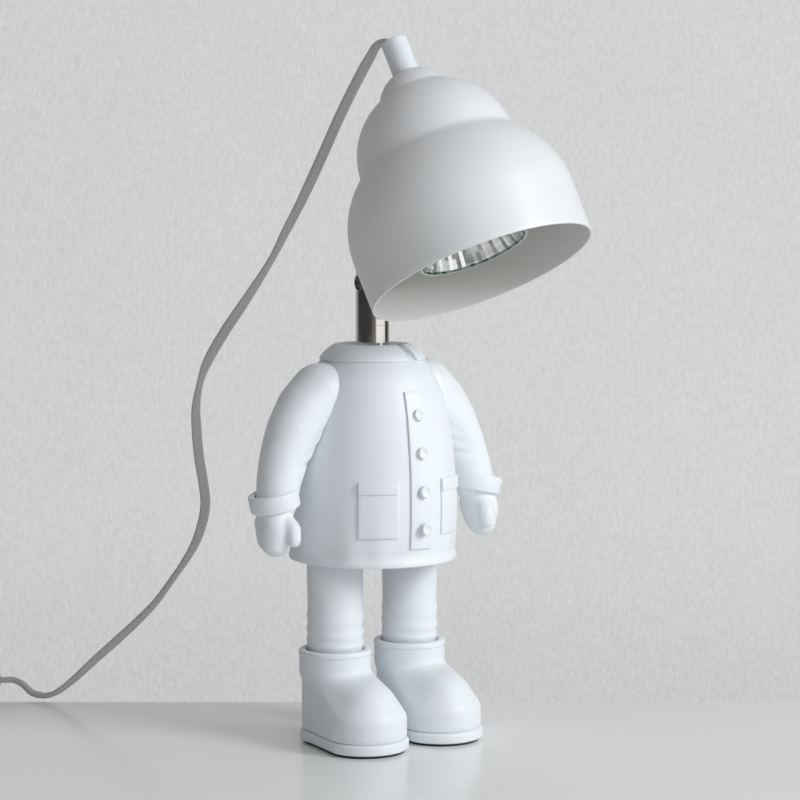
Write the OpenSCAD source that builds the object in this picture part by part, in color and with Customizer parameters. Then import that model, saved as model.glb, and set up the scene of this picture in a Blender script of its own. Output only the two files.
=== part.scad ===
// Standing figure lamp. A small figure in a plain coat carries a tiered shade on a short neck
// that swivels and tilts. A reflector bulb sits inside the shade, and a flat cord leaves its top.
// Right and left are the figure's own. It faces -Y, +Z is up, and the table is at z = 0.
// The origin lies on the table, under the middle of the lamp's own box without the cord.

/* [Coat] */
// Height of the coat from hem to top
coat_h = 119.5; // [105:0.5:135]
// Largest radius of the coat, just above the hem
coat_r = 50; // [48:0.5:54]
// Radius that the coat's side aims for at the shoulders
shoulder_r = 44; // [38:0.5:46]
// How far the coat's edge turns in at the hem
hem_turn = 2.5; // [1:0.5:3]
// Height over which the hem is rounded
hem_round = 10; // [6:1:16]
// Radius of the coat's flat top around the neck
top_r = 14; // [12:0.5:18]
// Wall of the cast coat
coat_wall = 8; // [6:0.5:9]
// Roof of the cast coat under the neck
roof_t = 9; // [7:0.5:12]
// How far the hem hangs below the hip plate
hem_drop = 5.5; // [4:0.5:8]
// Thickness of the steel hip plate
plate_t = 3; // [2:0.5:5]
// Width of the front placket strip
placket_w = 15; // [10:1:20]
// Radius of the folded collar's roll
collar_roll = 3; // [2:0.5:4]

/* [Arms] */
// Radius of the sleeve at the shoulder
sleeve_r = 17; // [14:0.5:19]
// How deep the shoulder sinks into the coat
shoulder_sink = 3; // [1:0.5:6]
// Radius of the sleeve's cuff
cuff_r = 14; // [12:0.5:16]
// Radius of the mitten's palm
palm_r = 9; // [7:0.5:11]
// Drop of the fingertips' middle below the shoulder
arm_l = 80; // [72:1:88]
// Radius of the dowel that pins each arm
dowel_r = 3; // [2:0.5:4]
// Depth of the dowel in the coat's wall
dowel_in = 5; // [3:0.5:6]
// Depth of the dowel in the arm
dowel_out = 12; // [8:1:16]

/* [Legs and boots] */
// Distance of each leg's middle from the figure's middle
leg_x = 26; // [25:0.5:27]
// Length of a leg from the boot to the hip plate
leg_l = 59; // [48:1:75]
// Radius of a leg at its top
leg_r = 16.5; // [14:0.5:17]
// How much a leg narrows towards the boot
leg_taper = 1; // [0:0.5:2]
// Height of a boot from its sole to its cuff
boot_h = 52; // [46:1:60]
// Depth of the leg's seat in the boot
boot_seat = 4; // [2:0.5:8]
// Wall of the boot round the leg
boot_wall = 4; // [3:0.5:5]
// Radius of the boot's heel
heel_r = 20; // [18:0.5:21]
// Radius of the boot's toe
toe_r = 24; // [21:0.5:24.5]
// Distance from the leg's middle forward to the toe's middle
toe_reach = 30; // [24:1:36]
// Height of the boot's toe above its sole
toe_h = 38; // [32:1:42]
// Thickness of the welt round the sole
welt_t = 6; // [4:0.5:8]
// Thickness of the dark pad under each boot
pad_t = 1.5; // [1:0.5:3]
// How far the pad stays inside the sole's edge
pad_inset = 2.5; // [1.5:0.5:4]

/* [Neck] */
// Radius of the neck tube
neck_r = 9.5; // [9:0.25:11]
// Height of the fixed neck post above the coat
post_h = 13; // [8:1:20]
// Radius of the post's threaded stem in the coat
stem_r = 8; // [7.5:0.25:8.25]
// Length of the threaded stem below the coat's top
stem_l = 28; // [25:1:34]
// Radius of the swivel's spigot
spigot_r = 6; // [5:0.25:6.25]
// Height of the tilt pivot above the seam of the neck
pivot_up = 23.7; // [21:0.1:30]
// Distance of the tilt pivot behind the neck's axis
pivot_back = 2.5; // [1.5:0.25:3.5]
// Radius of the fork's ears round the pivot
ear_r = 9; // [8.5:0.25:9.25]
// Thickness of the tilt tongue in the fork
tongue_t = 6.9; // [6.6:0.1:7.1]
// Radius of the tilt bolt
tilt_bolt_r = 2; // [1.75:0.25:2.25]
// Angle that the neck is turned to the figure's left
heading = 14; // [-60:1:60]
// Angle that the shade is tilted up from straight down
tilt = 26.3; // [8:0.1:60]
// Turn that the swivel can make each way
swivel_turn = 75; // [45:1:80]

/* [Shade] */
// Radius of the shade at its rim
rim_r = 63.6; // [58:0.2:70]
// Radius of the lowest tier at its widest
bell_r = 64; // [60:0.2:72]
// Height of the lowest tier's straight wall
bell_wall_h = 30; // [24:0.5:36]
// Radius of the lowest tier's rounding
bell_round = 54; // [48:0.5:60]
// Height of the groove over the lowest tier
groove_low = 71.5; // [67:0.5:75]
// Radius of the middle tier's dome
dome_round = 42; // [38:0.5:46]
// Height of the groove over the middle tier
groove_top = 109.5; // [105:0.5:111]
// Radius of the top cap's dome
cap_round = 22; // [20:0.5:26]
// Sheet thickness of the shade
shade_t = 1.2; // [0.8:0.1:1.6]
// Distance of the tilt pivot from the shade's wall
tongue_reach = 12; // [11.5:0.25:15]

/* [Cord grip and stem] */
// Radius of the cord grip on the shade
grip_r = 7.5; // [7.25:0.05:9]
// Height of the cord grip
grip_h = 20.5; // [17:0.5:26]
// Depth of the grip's thread
grip_thread = 10; // [8:0.5:12]
// Thickness of the web inside the grip
grip_web = 2.5; // [2:0.5:4]
// Radius of the hollow threaded stem
tube_r = 5; // [4.5:0.1:5.5]
// Wall of the hollow threaded stem
tube_wall = 1; // [0.8:0.1:1.2]

/* [Bulb and holder] */
// Radius of the reflector bulb
bulb_r = 31.5; // [30:0.25:33]
// Length of the bulb without its pins
bulb_l = 46.5; // [44:0.5:52]
// Depth of the bulb's front inside the rim
bulb_in = 13; // [6:0.5:16]
// Length of the bulb's pins
pin_l = 7; // [6:0.5:8]
// Distance of each pin from the bulb's axis
pin_x = 5; // [4.5:0.1:5.25]
// Radius of the ceramic lamp holder
holder_r = 13.5; // [13:0.25:15]
// Height of the ceramic lamp holder
holder_h = 17; // [14:0.5:19]
// Space between the holder and its bracket
bracket_gap = 12; // [10:0.5:14]

/* [Cord] */
// Width of the flat cord
cord_w = 6; // [5:0.2:6.4]
// Thickness of the flat cord
cord_t = 3.6; // [3:0.1:3.8]
// Radius of the coil's outermost turn
coil_r = 42; // [40:1:50]
// Step between neighbouring turns of the coil
coil_pitch = 6.6; // [6.6:0.1:7.5]
// Turns in each of the coil's two layers
coil_turns = 2.5; // [1.5:1:2.5]
// Step between the coil's two layers
layer_step = 4.1; // [4.1:0.1:5]

/* [Dimmer and plug] */
// Length of the in-line dimmer
dimmer_l = 52; // [46:1:70]
// Width of the dimmer
dimmer_w = 26; // [24:1:34]
// Height of the dimmer
dimmer_h = 16; // [15:0.5:22]
// Wall of the dimmer's shells
dimmer_wall = 2; // [1.5:0.25:2.5]
// Radius of the dimmer's thumbwheel
wheel_r = 11; // [10:0.5:12.5]
// Thickness of the thumbwheel
wheel_t = 5; // [4:0.5:6]
// How far the thumbwheel stands out of the side
wheel_out = 2.5; // [1.5:0.25:3.5]
// Length of the dimmer's cord sleeves
sleeve_l = 10; // [8:0.5:16]
// Length of the plug's body
plug_l = 35; // [30:1:40]
// Width of the plug's body
plug_w = 35; // [32:0.5:38]
// Length of the plug's tapered strain relief
relief_l = 24; // [20:1:40]
// Radius of the plug's pins
plug_pin_r = 2; // [1.9:0.05:2.4]
// Length of the plug's pins
plug_pin_l = 19; // [17:0.5:20]
// Distance between the plug's pins
plug_pin_gap = 18.6; // [17.5:0.1:19.5]

/* [Fits] */
// Running clearance of a shaft in its hole
run_fit = 0.05; // [0.02:0.01:0.09]
// Clearance of a fastener in its hole
hole_fit = 0.3; // [0.2:0.05:0.5]
// Clearance between parts that are set together
seat_fit = 0.2; // [0.1:0.05:0.3]

/* [Hidden] */

$fn = 64;
hull_fn = 32;
mesh_fn = 20;
eps = 0.01;
white = [0.94, 0.95, 0.96];
steel = [0.72, 0.72, 0.70];
cord_grey = [0.80, 0.80, 0.80];

// Heights of the figure, from the table up
boot_top = pad_t + boot_h;
leg_bottom = boot_top - boot_seat;
leg_top = leg_bottom + leg_l;
hem_z = leg_top - hem_drop;
coat_top = hem_z + coat_h;
seam_z = coat_top + post_h;
pivot_z = seam_z + pivot_up;
stem_bottom = coat_top - stem_l;

// A boot's straight shaft, and how far its upper stands inside the welt
shaft_h = 14;
upper_in = 1;

// Fasteners
m3 = 1.5;
m4 = 2;
m5 = 2.5;
m6 = 3;
washer_t = 1.2;
head_grow = 1.75;

// The coat's side is one curve from the hem's rounding to the flat top
coat_bow = 2;
coat_curve = [[coat_r, hem_round], [coat_r - coat_bow, coat_h / 2], [shoulder_r, coat_h],
    [top_r, coat_h]];
coat_steps = 20;
hem_curve = [[coat_r - hem_turn, 0], [coat_r - hem_turn / 3, 0], [coat_r, hem_round / 2],
    [coat_r, hem_round]];
hem_steps = 5;
rebate_wall = 3.5;
ledge_w = 2;
plate_r = coat_r - hem_turn - rebate_wall;
boss_r = 5;
boss_h = 14;
boss_at = plate_r - boss_r;
hip_screw_angles = [90, 240, 300];
shoulder_share = 0.6;
shoulder_edge = curve(coat_curve, shoulder_share);
shoulder = [-(shoulder_edge[0] - shoulder_sink), 0, hem_z + shoulder_edge[1]];

// The tilt pivot seen from the shade: rim at z = 0, axis up, the neck behind at +Y
pivot_v = bell_r + tongue_reach;
pivot_t = bell_wall_h;
bell_x = bell_r - bell_round;
groove_low_r = bell_x + sqrt(pow(bell_round, 2) - pow(groove_low - bell_wall_h, 2));
dome_x = groove_low_r - dome_round;
dome_z = groove_low;
groove_top_r = dome_x + sqrt(pow(dome_round, 2) - pow(groove_top - dome_z, 2));
cap_z = groove_top - sqrt(pow(cap_round, 2) - pow(groove_top_r, 2));
cap_flat = grip_r + seat_fit;
shade_h = cap_z + sqrt(pow(cap_round, 2) - pow(cap_flat, 2));

// The lamp's box from front to back sets where the neck stands
reach = pivot_v * cos(tilt) + pivot_t * sin(tilt) - pivot_back;
rim_half = rim_r * sqrt(1 - pow(sin(tilt) * cos(heading), 2));
front_y = reach * cos(heading) + rim_half;
neck_y = (front_y - coat_r) / 2;

// Bulb, holder and stem, as heights over the rim
bulb_top = bulb_in + bulb_l;
pin_top = bulb_top + pin_l;
holder_z = bulb_top + seat_fit;
holder_top = holder_z + holder_h;
bracket_t = 1.5;
bracket_w = 14;
bracket_z = holder_top + bracket_gap;
bracket_screw_z = holder_z + 10;
nut_t = 5;
tube_bottom = bracket_z - nut_t;
grip_z = shade_h;
web_z = grip_z + grip_thread;
tube_top = web_z - hole_fit;
mouth_r = 6;
web_hole = cord_w / 2 + 0.9;

// The cord's points: left of the neck, behind it and up, seen along the figure's right front,
// with the turn of the cord's flat side. Each end runs straight and square to what it meets.
route_turn = 36;
end_run = 4;
lead_route = [
    [-12.3, -10.4, 391.2, 0], [-8.7, -7.4, 393.4, 5], [-4.7, -4.1, 392.9, 20], [-1.9, -1.7, 390.6, 40],
    [-0.6, -0.5, 388.3, 50], [1.5, 0.9, 384.6, 65], [4.3, 2.4, 379.8, 80], [9.6, 5, 370, 90],
    [14.7, 6.8, 360, 90], [20, 9, 349, 90], [30, 14, 327, 90], [41, 20, 304, 58],
    [50, 25, 287, 42], [59, 30, 270, 22], [74, 38, 247, 58], [87, 45, 228, 90], [97, 52, 211, 62],
    [102, 57, 198, 16], [105, 62, 183, 45], [105, 66, 168, 75], [104, 70, 152, 80],
    [102, 74, 137, 80], [101, 77, 124, 80], [103, 80, 112, 70], [108, 85, 98, 50],
    [115, 89, 86, 30], [124, 94, 73, 20], [133.5, 97, 60, 30], [145, 98, 48, 45],
    [158, 97, 36, 50], [171, 95.5, 24.5, 45], [183, 93.5, 13.5, 30], [192, 92.3, 6.6, 15],
    [199, 93.7, 3.4, 5], [205.5, 98, 2.8, 0], [210.5, 104.3, 3, 0], [214.5, 110.8, 4.4, 0],
    [218.8, 115.9, 6.4, 0]];
dimmer_at = [232, 118];
link_route = [[323, 122, 7, 90], [333, 131, 5, 90], [339, 143, 4, 90], [341, 156, 3, 90]];
coil_at = [298, 184];
tie_t = 1;
tie_gap = 0.4;
tie_w = 8;
tie_angles = [80, 200];
coil_z = tie_t + tie_gap + cord_t / 2;
tail_l = 27;
rings_per_turn = 24;
cord_sides = 10;
coil_sides = 6;
dimmer_z = dimmer_h / 2;
dimmer_end = dimmer_at[0] + 2 * sleeve_l + dimmer_l;
lead_path = concat([for (k = [0 : 2]) concat(head_point([0, 0, web_z + k * end_run / 2]), 0)],
    [for (p = lead_route) on_route(p)],
    [for (k = [2 : -1 : 0]) on_route([dimmer_at[0] - k * end_run, dimmer_at[1], dimmer_z, 0])]);
link_path = concat(
    [for (k = [0 : 2]) on_route([dimmer_end + k * end_run, dimmer_at[1], dimmer_z, 90])],
    [for (p = link_route) on_route(p)],
    [for (k = [2 : -1 : 0])
        on_route([coil_at[0] + coil_r, coil_at[1] - cord_w - k * end_run, coil_z, 90])]);
coil_layer_deg = 360 * coil_turns;
plug_z = coil_z + layer_step;
plug_start = [coil_at[0] + coil_r, coil_at[1] + tail_l];
wheel_y = dimmer_w / 2 - wheel_r + wheel_out;
spindle_r = 2;
bush_r = 4.5;

function unit(v) = v / norm(v);
function curve(p, t) = pow(1 - t, 3) * p[0] + 3 * pow(1 - t, 2) * t * p[1]
    + 3 * (1 - t) * t * t * p[2] + t * t * t * p[3];
function turn_x(p, a) = [p[0], p[1] * cos(a) - p[2] * sin(a), p[1] * sin(a) + p[2] * cos(a)];
function turn_z(p, a) = [p[0] * cos(a) - p[1] * sin(a), p[0] * sin(a) + p[1] * cos(a), p[2]];
// A point of the tilted shade, in the lamp's frame
function head_point(p) = [0, neck_y, pivot_z]
    + turn_z([0, pivot_back, 0] + turn_x(p - [0, pivot_v, pivot_t], -tilt), heading);
// A point given left of the neck, behind it and up, in the lamp's frame
function on_route(p) = concat([0, neck_y, p[2]] + turn_z([-p[0], p[1], 0], -route_turn), p[3]);
function smooth(p, i, t) = let (a = p[max(i - 1, 0)], b = p[i], c = p[i + 1],
    d = p[min(i + 2, len(p) - 1)])
    0.5 * (2 * b + (c - a) * t + (2 * a - 5 * b + 4 * c - d) * t * t + (3 * b - a - 3 * c + d) * t * t * t);
function smoothed(p, n) = [for (i = [0 : len(p) - 2], k = [0 : n - 1]) smooth(p, i, k / n), p[len(p) - 1]];
function xyz(p) = [p[0], p[1], p[2]];
function heading_at(p, i) = unit(xyz(p[min(i + 1, len(p) - 1)]) - xyz(p[max(i - 1, 0)]));
// One oval ring of the flat cord, square to its path
function cord_ring(p, i, ref, sides) = let (t = heading_at(p, i), s = unit(ref - (ref * t) * t),
    q = cross(t, s), a = p[i][3])
    [for (k = [0 : sides - 1]) let (g = 360 * k / sides, u = cord_w / 2 * cos(g), v = cord_t / 2 * sin(g))
        xyz(p[i]) + (u * cos(a) - v * sin(a)) * s + (u * sin(a) + v * cos(a)) * q];
function cord_rings(p, ref, sides) = [for (i = [0 : len(p) - 1]) cord_ring(p, i, ref, sides)];
// Radius and height of the coil at an angle along its winding
function coil_radius(g) = coil_r - coil_pitch * (coil_layer_deg - abs(coil_layer_deg - g)) / 360;
function coil_height(g) = coil_z + layer_step * min(max((g - coil_layer_deg + 90) / 180, 0), 1);
function coil_point(g) = on_route([coil_at[0] + coil_radius(g) * cos(g),
    coil_at[1] + coil_radius(g) * sin(g), coil_height(g), 90]);
coil_path = concat(
    [on_route([coil_at[0] + coil_r, coil_at[1] - cord_w, coil_z, 90])],
    [for (g = [0 : 360 / rings_per_turn : 2 * coil_layer_deg]) coil_point(g)],
    [for (k = [1, 2]) on_route([coil_at[0] + coil_r, coil_at[1] + k * tail_l / 2, plug_z, 90])]);
coil_rings = cord_rings(coil_path, [0, 0, 1], coil_sides);
// The least distance between points of turns that lie beside or on each other
function coil_gap() = min([for (i = [0 : len(coil_rings) - 1])
    for (j = [i + rings_per_turn / 2 : len(coil_rings) - 1])
        if (norm(xyz(coil_path[i]) - xyz(coil_path[j])) < 2 * cord_w)
            for (a = coil_rings[i], b = coil_rings[j]) norm(a - b)]);

// A closed tube of triangles through rings of equal count
module skin(rings) {
    n = len(rings[0]);
    m = len(rings);
    sides = [for (i = [0 : m - 2], k = [0 : n - 1]) each let (a = i * n + k, b = i * n + (k + 1) % n)
        [[a, b, a + n], [b, b + n, a + n]]];
    first = [for (k = [1 : n - 2]) [0, k + 1, k]];
    last = [for (k = [1 : n - 2]) [(m - 1) * n, (m - 1) * n + k, (m - 1) * n + k + 1]];
    polyhedron([for (r = rings) each r], concat(sides, first, last), convexity = 10);
}

module on_table() translate([0, neck_y, 0]) children();
module on_swivel() on_table() rotate([0, 0, heading]) children();
module on_head() on_swivel() translate([0, pivot_back, pivot_z]) rotate([-tilt, 0, 0])
    translate([0, -pivot_v, -pivot_t]) children();
// A place on the table with +X along the cord's run away from the lamp
module on_floor(p) on_table() rotate([0, 0, -route_turn]) translate([-p[0], p[1], 0])
    rotate([0, 0, 180]) children();
module both_sides() for (s = [0, 1]) mirror([s, 0, 0]) children();
module bore(r, z0, z1) translate([0, 0, z0]) cylinder(r = r, h = z1 - z0);
module ring(r, hole, z0, z1) difference() {
    bore(r, z0, z1);
    bore(hole, z0 - 1, z1 + 1);
}
module hex_nut(r, hole, z0, z1) difference() {
    translate([0, 0, z0]) cylinder(r = r, h = z1 - z0, $fn = 6);
    bore(hole, z0 - 1, z1 + 1);
}

// The coat's outline from its axis, grown by some distance
module coat_outline(grow) polygon(concat([[0, 0]],
    [for (k = [0 : hem_steps - 1]) curve(hem_curve, k / hem_steps) + [grow, 0]],
    [for (k = [0 : coat_steps]) curve(coat_curve, k / coat_steps) + [grow, grow * k / coat_steps]],
    [[0, coat_h + grow]]));
module coat_solid(grow) translate([0, 0, hem_z]) rotate_extrude() coat_outline(grow);
module coat_hollow() translate([0, 0, hem_z]) rotate_extrude() intersection() {
    polygon(concat([[0, 0], [plate_r - ledge_w, 0]],
        [for (k = [0 : coat_steps]) let (e = curve(coat_curve, k / coat_steps))
            [min(e[0] - coat_wall, plate_r - ledge_w), e[1]]], [[0, coat_h]]));
    square([coat_r, coat_h - roof_t]);
}

module coat() color(white) on_table() difference() {
    union() {
        difference() {
            union() {
                coat_solid(0);
                collar();
                placket();
            }
            coat_hollow();
            bore(plate_r + seat_fit, hem_z - 1, leg_top + plate_t);
        }
        intersection() {
            for (a = hip_screw_angles) rotate([0, 0, a]) translate([boss_at, 0, 0])
                bore(boss_r, leg_top + plate_t, leg_top + plate_t + boss_h);
            coat_solid(-1);
        }
    }
    for (a = hip_screw_angles) rotate([0, 0, a]) translate([boss_at, 0, 0])
        bore(m4, leg_top + plate_t - 1, leg_top + plate_t + boss_h - 2);
    bore(stem_r + seat_fit, coat_top - roof_t - 1, coat_top + 1);
    both_sides() translate([shoulder[0], 0, shoulder[2]]) dowel_bore(dowel_r + run_fit);
}
// A soft roll that lies on the shoulders round the neck
module collar() let (e = curve(coat_curve, 0.86)) translate([0, 0, hem_z + e[1]])
    rotate_extrude() translate([e[0], 0]) circle(r = collar_roll);
// A flat strip down the coat's front
module placket() intersection() {
    coat_solid(1);
    translate([-placket_w / 2, -2 * coat_r, hem_z + hem_round])
        cube([placket_w, 2 * coat_r, shoulder_edge[1] - hem_round]);
}
module dowel_bore(r) rotate([0, -90, 0]) bore(r, -(dowel_in - shoulder_sink), dowel_out);

module hip_plate() color(steel) on_table() difference() {
    bore(plate_r, leg_top, leg_top + plate_t);
    for (a = hip_screw_angles) rotate([0, 0, a]) translate([boss_at, 0, 0])
        bore(m4 + hole_fit, leg_top - 1, leg_top + plate_t + 1);
    both_sides() translate([leg_x, 0, 0]) bore(m6 + hole_fit, leg_top - 1, leg_top + plate_t + 1);
}
module hip_screws() color(steel) on_table() for (a = hip_screw_angles) rotate([0, 0, a])
    translate([boss_at, 0, 0]) {
        bore(m4 - run_fit, leg_top - eps, leg_top + plate_t + boss_h - 3);
        bore(m4 * head_grow, leg_top - m4, leg_top);
    }

module leg() translate([-leg_x, 0, 0]) difference() {
    translate([0, 0, leg_bottom]) cylinder(r1 = leg_r - leg_taper, r2 = leg_r, h = leg_l);
    bore(m6 + hole_fit, leg_bottom - 1, leg_top + 1);
}
module right_leg() color(white) on_table() leg();
module left_leg() color(white) on_table() mirror([1, 0, 0]) leg();

// The outline of a sole: heel and toe circles and the straight sides between them
module sole_outline(inset) {
    h = heel_r - inset;
    t = toe_r - inset;
    lean = asin((t - h) / toe_reach);
    circle(r = h);
    translate([0, -toe_reach]) circle(r = t);
    polygon([[-h * cos(lean), -h * sin(lean)], [-t * cos(lean), -toe_reach - t * sin(lean)],
        [t * cos(lean), -toe_reach - t * sin(lean)], [h * cos(lean), -h * sin(lean)]]);
}
module boot() translate([-leg_x, 0, 0]) difference() {
    union() {
        translate([0, 0, pad_t]) linear_extrude(welt_t) sole_outline(0);
        hull() {
            for (p = [[0, heel_r], [-toe_reach, toe_r]]) translate([0, p[0], pad_t + welt_t])
                cylinder(r = p[1] - upper_in, h = toe_h / 3, $fn = hull_fn);
            translate([0, -toe_reach, pad_t + toe_h / 2]) sphere(r = toe_h / 2, $fn = hull_fn);
            translate([0, 0, pad_t + toe_h]) cylinder(r = heel_r - upper_in, h = upper_in, $fn = hull_fn);
        }
        bore(leg_r + boot_wall, boot_top - shaft_h, boot_top);
    }
    bore(leg_r + seat_fit, leg_bottom, boot_top + 1);
    bore(m6 + hole_fit, pad_t - 1, boot_top);
    bore(m6 * head_grow + hole_fit, pad_t - 1, pad_t + 2 * m6 + 2);
}
module right_boot() color(white) on_table() boot();
module left_boot() color(white) on_table() mirror([1, 0, 0]) boot();
module sole_pad() translate([-leg_x, 0, 0]) linear_extrude(pad_t) sole_outline(pad_inset);
module right_sole_pad() color("dimgray") on_table() sole_pad();
module left_sole_pad() color("dimgray") on_table() mirror([1, 0, 0]) sole_pad();

nut_z = leg_top + plate_t + washer_t;
module leg_bolts() color(steel) on_table() both_sides() translate([leg_x, 0, 0]) {
    bore(m6, pad_t + 2 * m6 + 1, nut_z + nut_t + 2);
    bore(m6 * head_grow, pad_t + 2, pad_t + 2 * m6 + 2);
}
module leg_washers() color(steel) on_table() both_sides() translate([leg_x, 0, 0])
    ring(m6 * 2, m6 + seat_fit, leg_top + plate_t, nut_z);
module leg_nuts() color(steel) on_table() both_sides() translate([leg_x, 0, 0])
    hex_nut(m6 * 1.9, m6 + run_fit, nut_z, nut_z + nut_t);

// Balls joined in a row, each given by its place and radius
module chain(p) for (i = [0 : len(p) - 2]) hull() for (q = [p[i], p[i + 1]])
    translate([q[0], q[1], q[2]]) sphere(r = q[3], $fn = mesh_fn);
// A ball of the arm: its place as shares of the arm's drop, and its radius
function ball(x, y, z, r) = concat(arm_l * [x, y, z], [r]);
module cuff(z, r) translate(z) rotate([0, -12, 0]) cylinder(r = r, h = arm_l / 8, $fn = 2 * mesh_fn);
module arm() difference() {
    translate(shoulder) {
        chain([ball(0, 0, 0, sleeve_r), ball(-0.125, 0, -0.1125, sleeve_r * 0.97),
            ball(-0.225, -0.0125, -0.25, sleeve_r * 0.912), ball(-0.3125, -0.025, -0.4125, sleeve_r * 0.824),
            ball(-0.375, -0.05, -0.575, sleeve_r * 0.735), ball(-0.4125, -0.075, -0.725, cuff_r * 0.82)]);
        cuff(arm_l * [-0.41875, -0.075, -0.775], cuff_r);
        chain([ball(-0.425, -0.08125, -0.775, palm_r * 1.11), ball(-0.45, -0.125, -0.9, palm_r),
            ball(-0.45, -0.1125, -1, palm_r * 0.89)]);
        chain([ball(-0.4375, -0.0375, -0.875, palm_r), ball(-0.45, -0.0625, -0.975, palm_r * 0.89)]);
        chain([ball(-0.4125, -0.15, -0.825, palm_r * 0.555), ball(-0.3875, -0.2375, -0.9, palm_r * 0.5),
            ball(-0.3875, -0.25, -0.975, palm_r * 0.445)]);
    }
    coat_solid(seat_fit);
    translate([shoulder[0], 0, shoulder[2]]) dowel_bore(dowel_r + seat_fit);
}
module right_arm() color(white) on_table() arm();
module left_arm() color(white) on_table() mirror([1, 0, 0]) arm();
module arm_dowels() color(steel) on_table() both_sides()
    translate([shoulder[0], 0, shoulder[2]]) rotate([0, -90, 0])
        bore(dowel_r, -(dowel_in - shoulder_sink) + eps, dowel_out - seat_fit);

// The fixed post, with an arc cut in its top face for the swivel's stop pin
stop_r = 1;
stop_at = (spigot_r + neck_r) / 2;
stop_cut = 3;
stop_angle = asin((stop_r + seat_fit) / stop_at);
module neck_post() color(steel) on_swivel() difference() {
    union() {
        bore(neck_r, coat_top, seam_z);
        bore(stem_r, stem_bottom, coat_top + 1);
    }
    bore(spigot_r + run_fit, stem_bottom - 1, seam_z + 1);
    rotate([0, 0, 90 - swivel_turn - stop_angle]) translate([0, 0, seam_z - stop_cut])
        rotate_extrude(angle = 2 * (swivel_turn + stop_angle))
            translate([stop_at - stop_r - seat_fit, 0]) square([2 * (stop_r + seat_fit), stop_cut + 1]);
}
roof_under = coat_top - roof_t;
neck_nut_t = 6;
module neck_washer() color(steel) on_table()
    ring(stem_r + 5, stem_r + seat_fit, roof_under - washer_t, roof_under);
module neck_nut() color(steel) on_table()
    hex_nut(stem_r + 4.5, stem_r + run_fit, roof_under - washer_t - neck_nut_t, roof_under - washer_t);

// The fork turns with its spigot in the post, and holds the tongue between its ears
ear_front = neck_r - 3;
slot_half = tongue_t / 2 + 0.55;
slot_bottom = pivot_z - 2 * ear_r;
head_in = 4.4;
head_t = 2;
module swivel_fork() color(steel) on_swivel() difference() {
    union() {
        bore(spigot_r, stem_bottom, seam_z + 1);
        bore(neck_r, seam_z, slot_bottom + 2);
        intersection() {
            bore(neck_r, seam_z, pivot_z + 2 * ear_r);
            union() {
                translate([-neck_r, -ear_front, seam_z]) cube([2 * neck_r, ear_front + neck_r, pivot_up]);
                translate([-neck_r, pivot_back, pivot_z]) rotate([0, 90, 0]) bore(ear_r, 0, 2 * neck_r);
            }
        }
    }
    translate([-slot_half, -2 * neck_r, slot_bottom]) cube([2 * slot_half, 4 * neck_r, 6 * ear_r]);
    translate([0, pivot_back, pivot_z]) rotate([0, 90, 0]) {
        bore(tilt_bolt_r + run_fit, -2 * neck_r, 2 * neck_r);
        bore(tilt_bolt_r * head_grow + hole_fit, neck_r - head_in, 2 * neck_r);
        bore(tilt_bolt_r * 2 + hole_fit, -2 * neck_r, -neck_r + head_in);
    }
    bore(m5 - run_fit, stem_bottom - 1, stem_bottom + 16);
    rotate([0, 0, 90]) translate([stop_at, 0, 0]) bore(stop_r, seam_z - 1, seam_z + 4);
}
module swivel_stop_pin() color(steel) on_swivel() rotate([0, 0, 90]) translate([stop_at, 0, 0])
    bore(stop_r, seam_z - stop_cut + seat_fit, seam_z + 4 - eps);
module swivel_washer() color(steel) on_swivel()
    ring(stem_r, m5 + seat_fit, stem_bottom - washer_t - run_fit, stem_bottom - run_fit);
module swivel_screw() color(steel) on_swivel() {
    bore(m5 - 2 * run_fit, stem_bottom - washer_t - run_fit - eps, stem_bottom + 14);
    bore(m5 * head_grow, stem_bottom - washer_t - run_fit - m5, stem_bottom - washer_t - run_fit);
}

module at_pivot() on_swivel() translate([0, pivot_back, pivot_z]) rotate([0, 90, 0]) children();
module tilt_bolt() color(steel) at_pivot() {
    bore(tilt_bolt_r, -neck_r + head_t, neck_r - head_in + eps);
    bore(tilt_bolt_r * head_grow, neck_r - head_in, neck_r - head_in + head_t);
}
module tilt_nut() color(steel) at_pivot()
    hex_nut(tilt_bolt_r * 1.9, tilt_bolt_r + run_fit, -neck_r + head_in - head_t, -neck_r + head_in);
module friction_washers() color("saddlebrown") at_pivot() for (s = [0, 1]) mirror([0, 0, s])
    ring(ear_r - 2, tilt_bolt_r + run_fit, tongue_t / 2 + run_fit / 2, slot_half);

// The tongue is screwed to the shade's wall and turns in the fork
tongue_half = 6;
flange_r = 8;
flange_from = ear_r + 0.6;
module tilt_tongue() color(steel) on_head() difference() {
    union() {
        translate([0, pivot_v, pivot_t]) rotate([0, 90, 0]) bore(ear_r - 1, -tongue_t / 2, tongue_t / 2);
        translate([-tongue_t / 2, bell_r - 3, pivot_t - tongue_half])
            cube([tongue_t, tongue_reach + 3, 2 * tongue_half]);
        translate([0, pivot_v - flange_from, pivot_t]) rotate([90, 0, 0]) bore(flange_r, 0, tongue_reach);
    }
    shade_solid(run_fit);
    translate([0, pivot_v, pivot_t]) rotate([0, 90, 0]) bore(tilt_bolt_r + run_fit, -tongue_t, tongue_t);
    along_wall() bore(m4 + run_fit, -tongue_reach, 7.5);
}
// Along the tongue's screw, from the shade's outer wall towards the pivot
module along_wall() translate([0, bell_r, pivot_t]) rotate([-90, 0, 0]) children();
wall_seat = -shade_t - 0.4;
module tongue_washer() color(steel) on_head() along_wall()
    ring(m4 * 2.5, m4 + seat_fit, wall_seat - washer_t, wall_seat);
module tongue_screw() color(steel) on_head() along_wall() {
    bore(m4, wall_seat - washer_t - eps, 7);
    bore(m4 * head_grow, wall_seat - washer_t - 2.5, wall_seat - washer_t);
}

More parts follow.
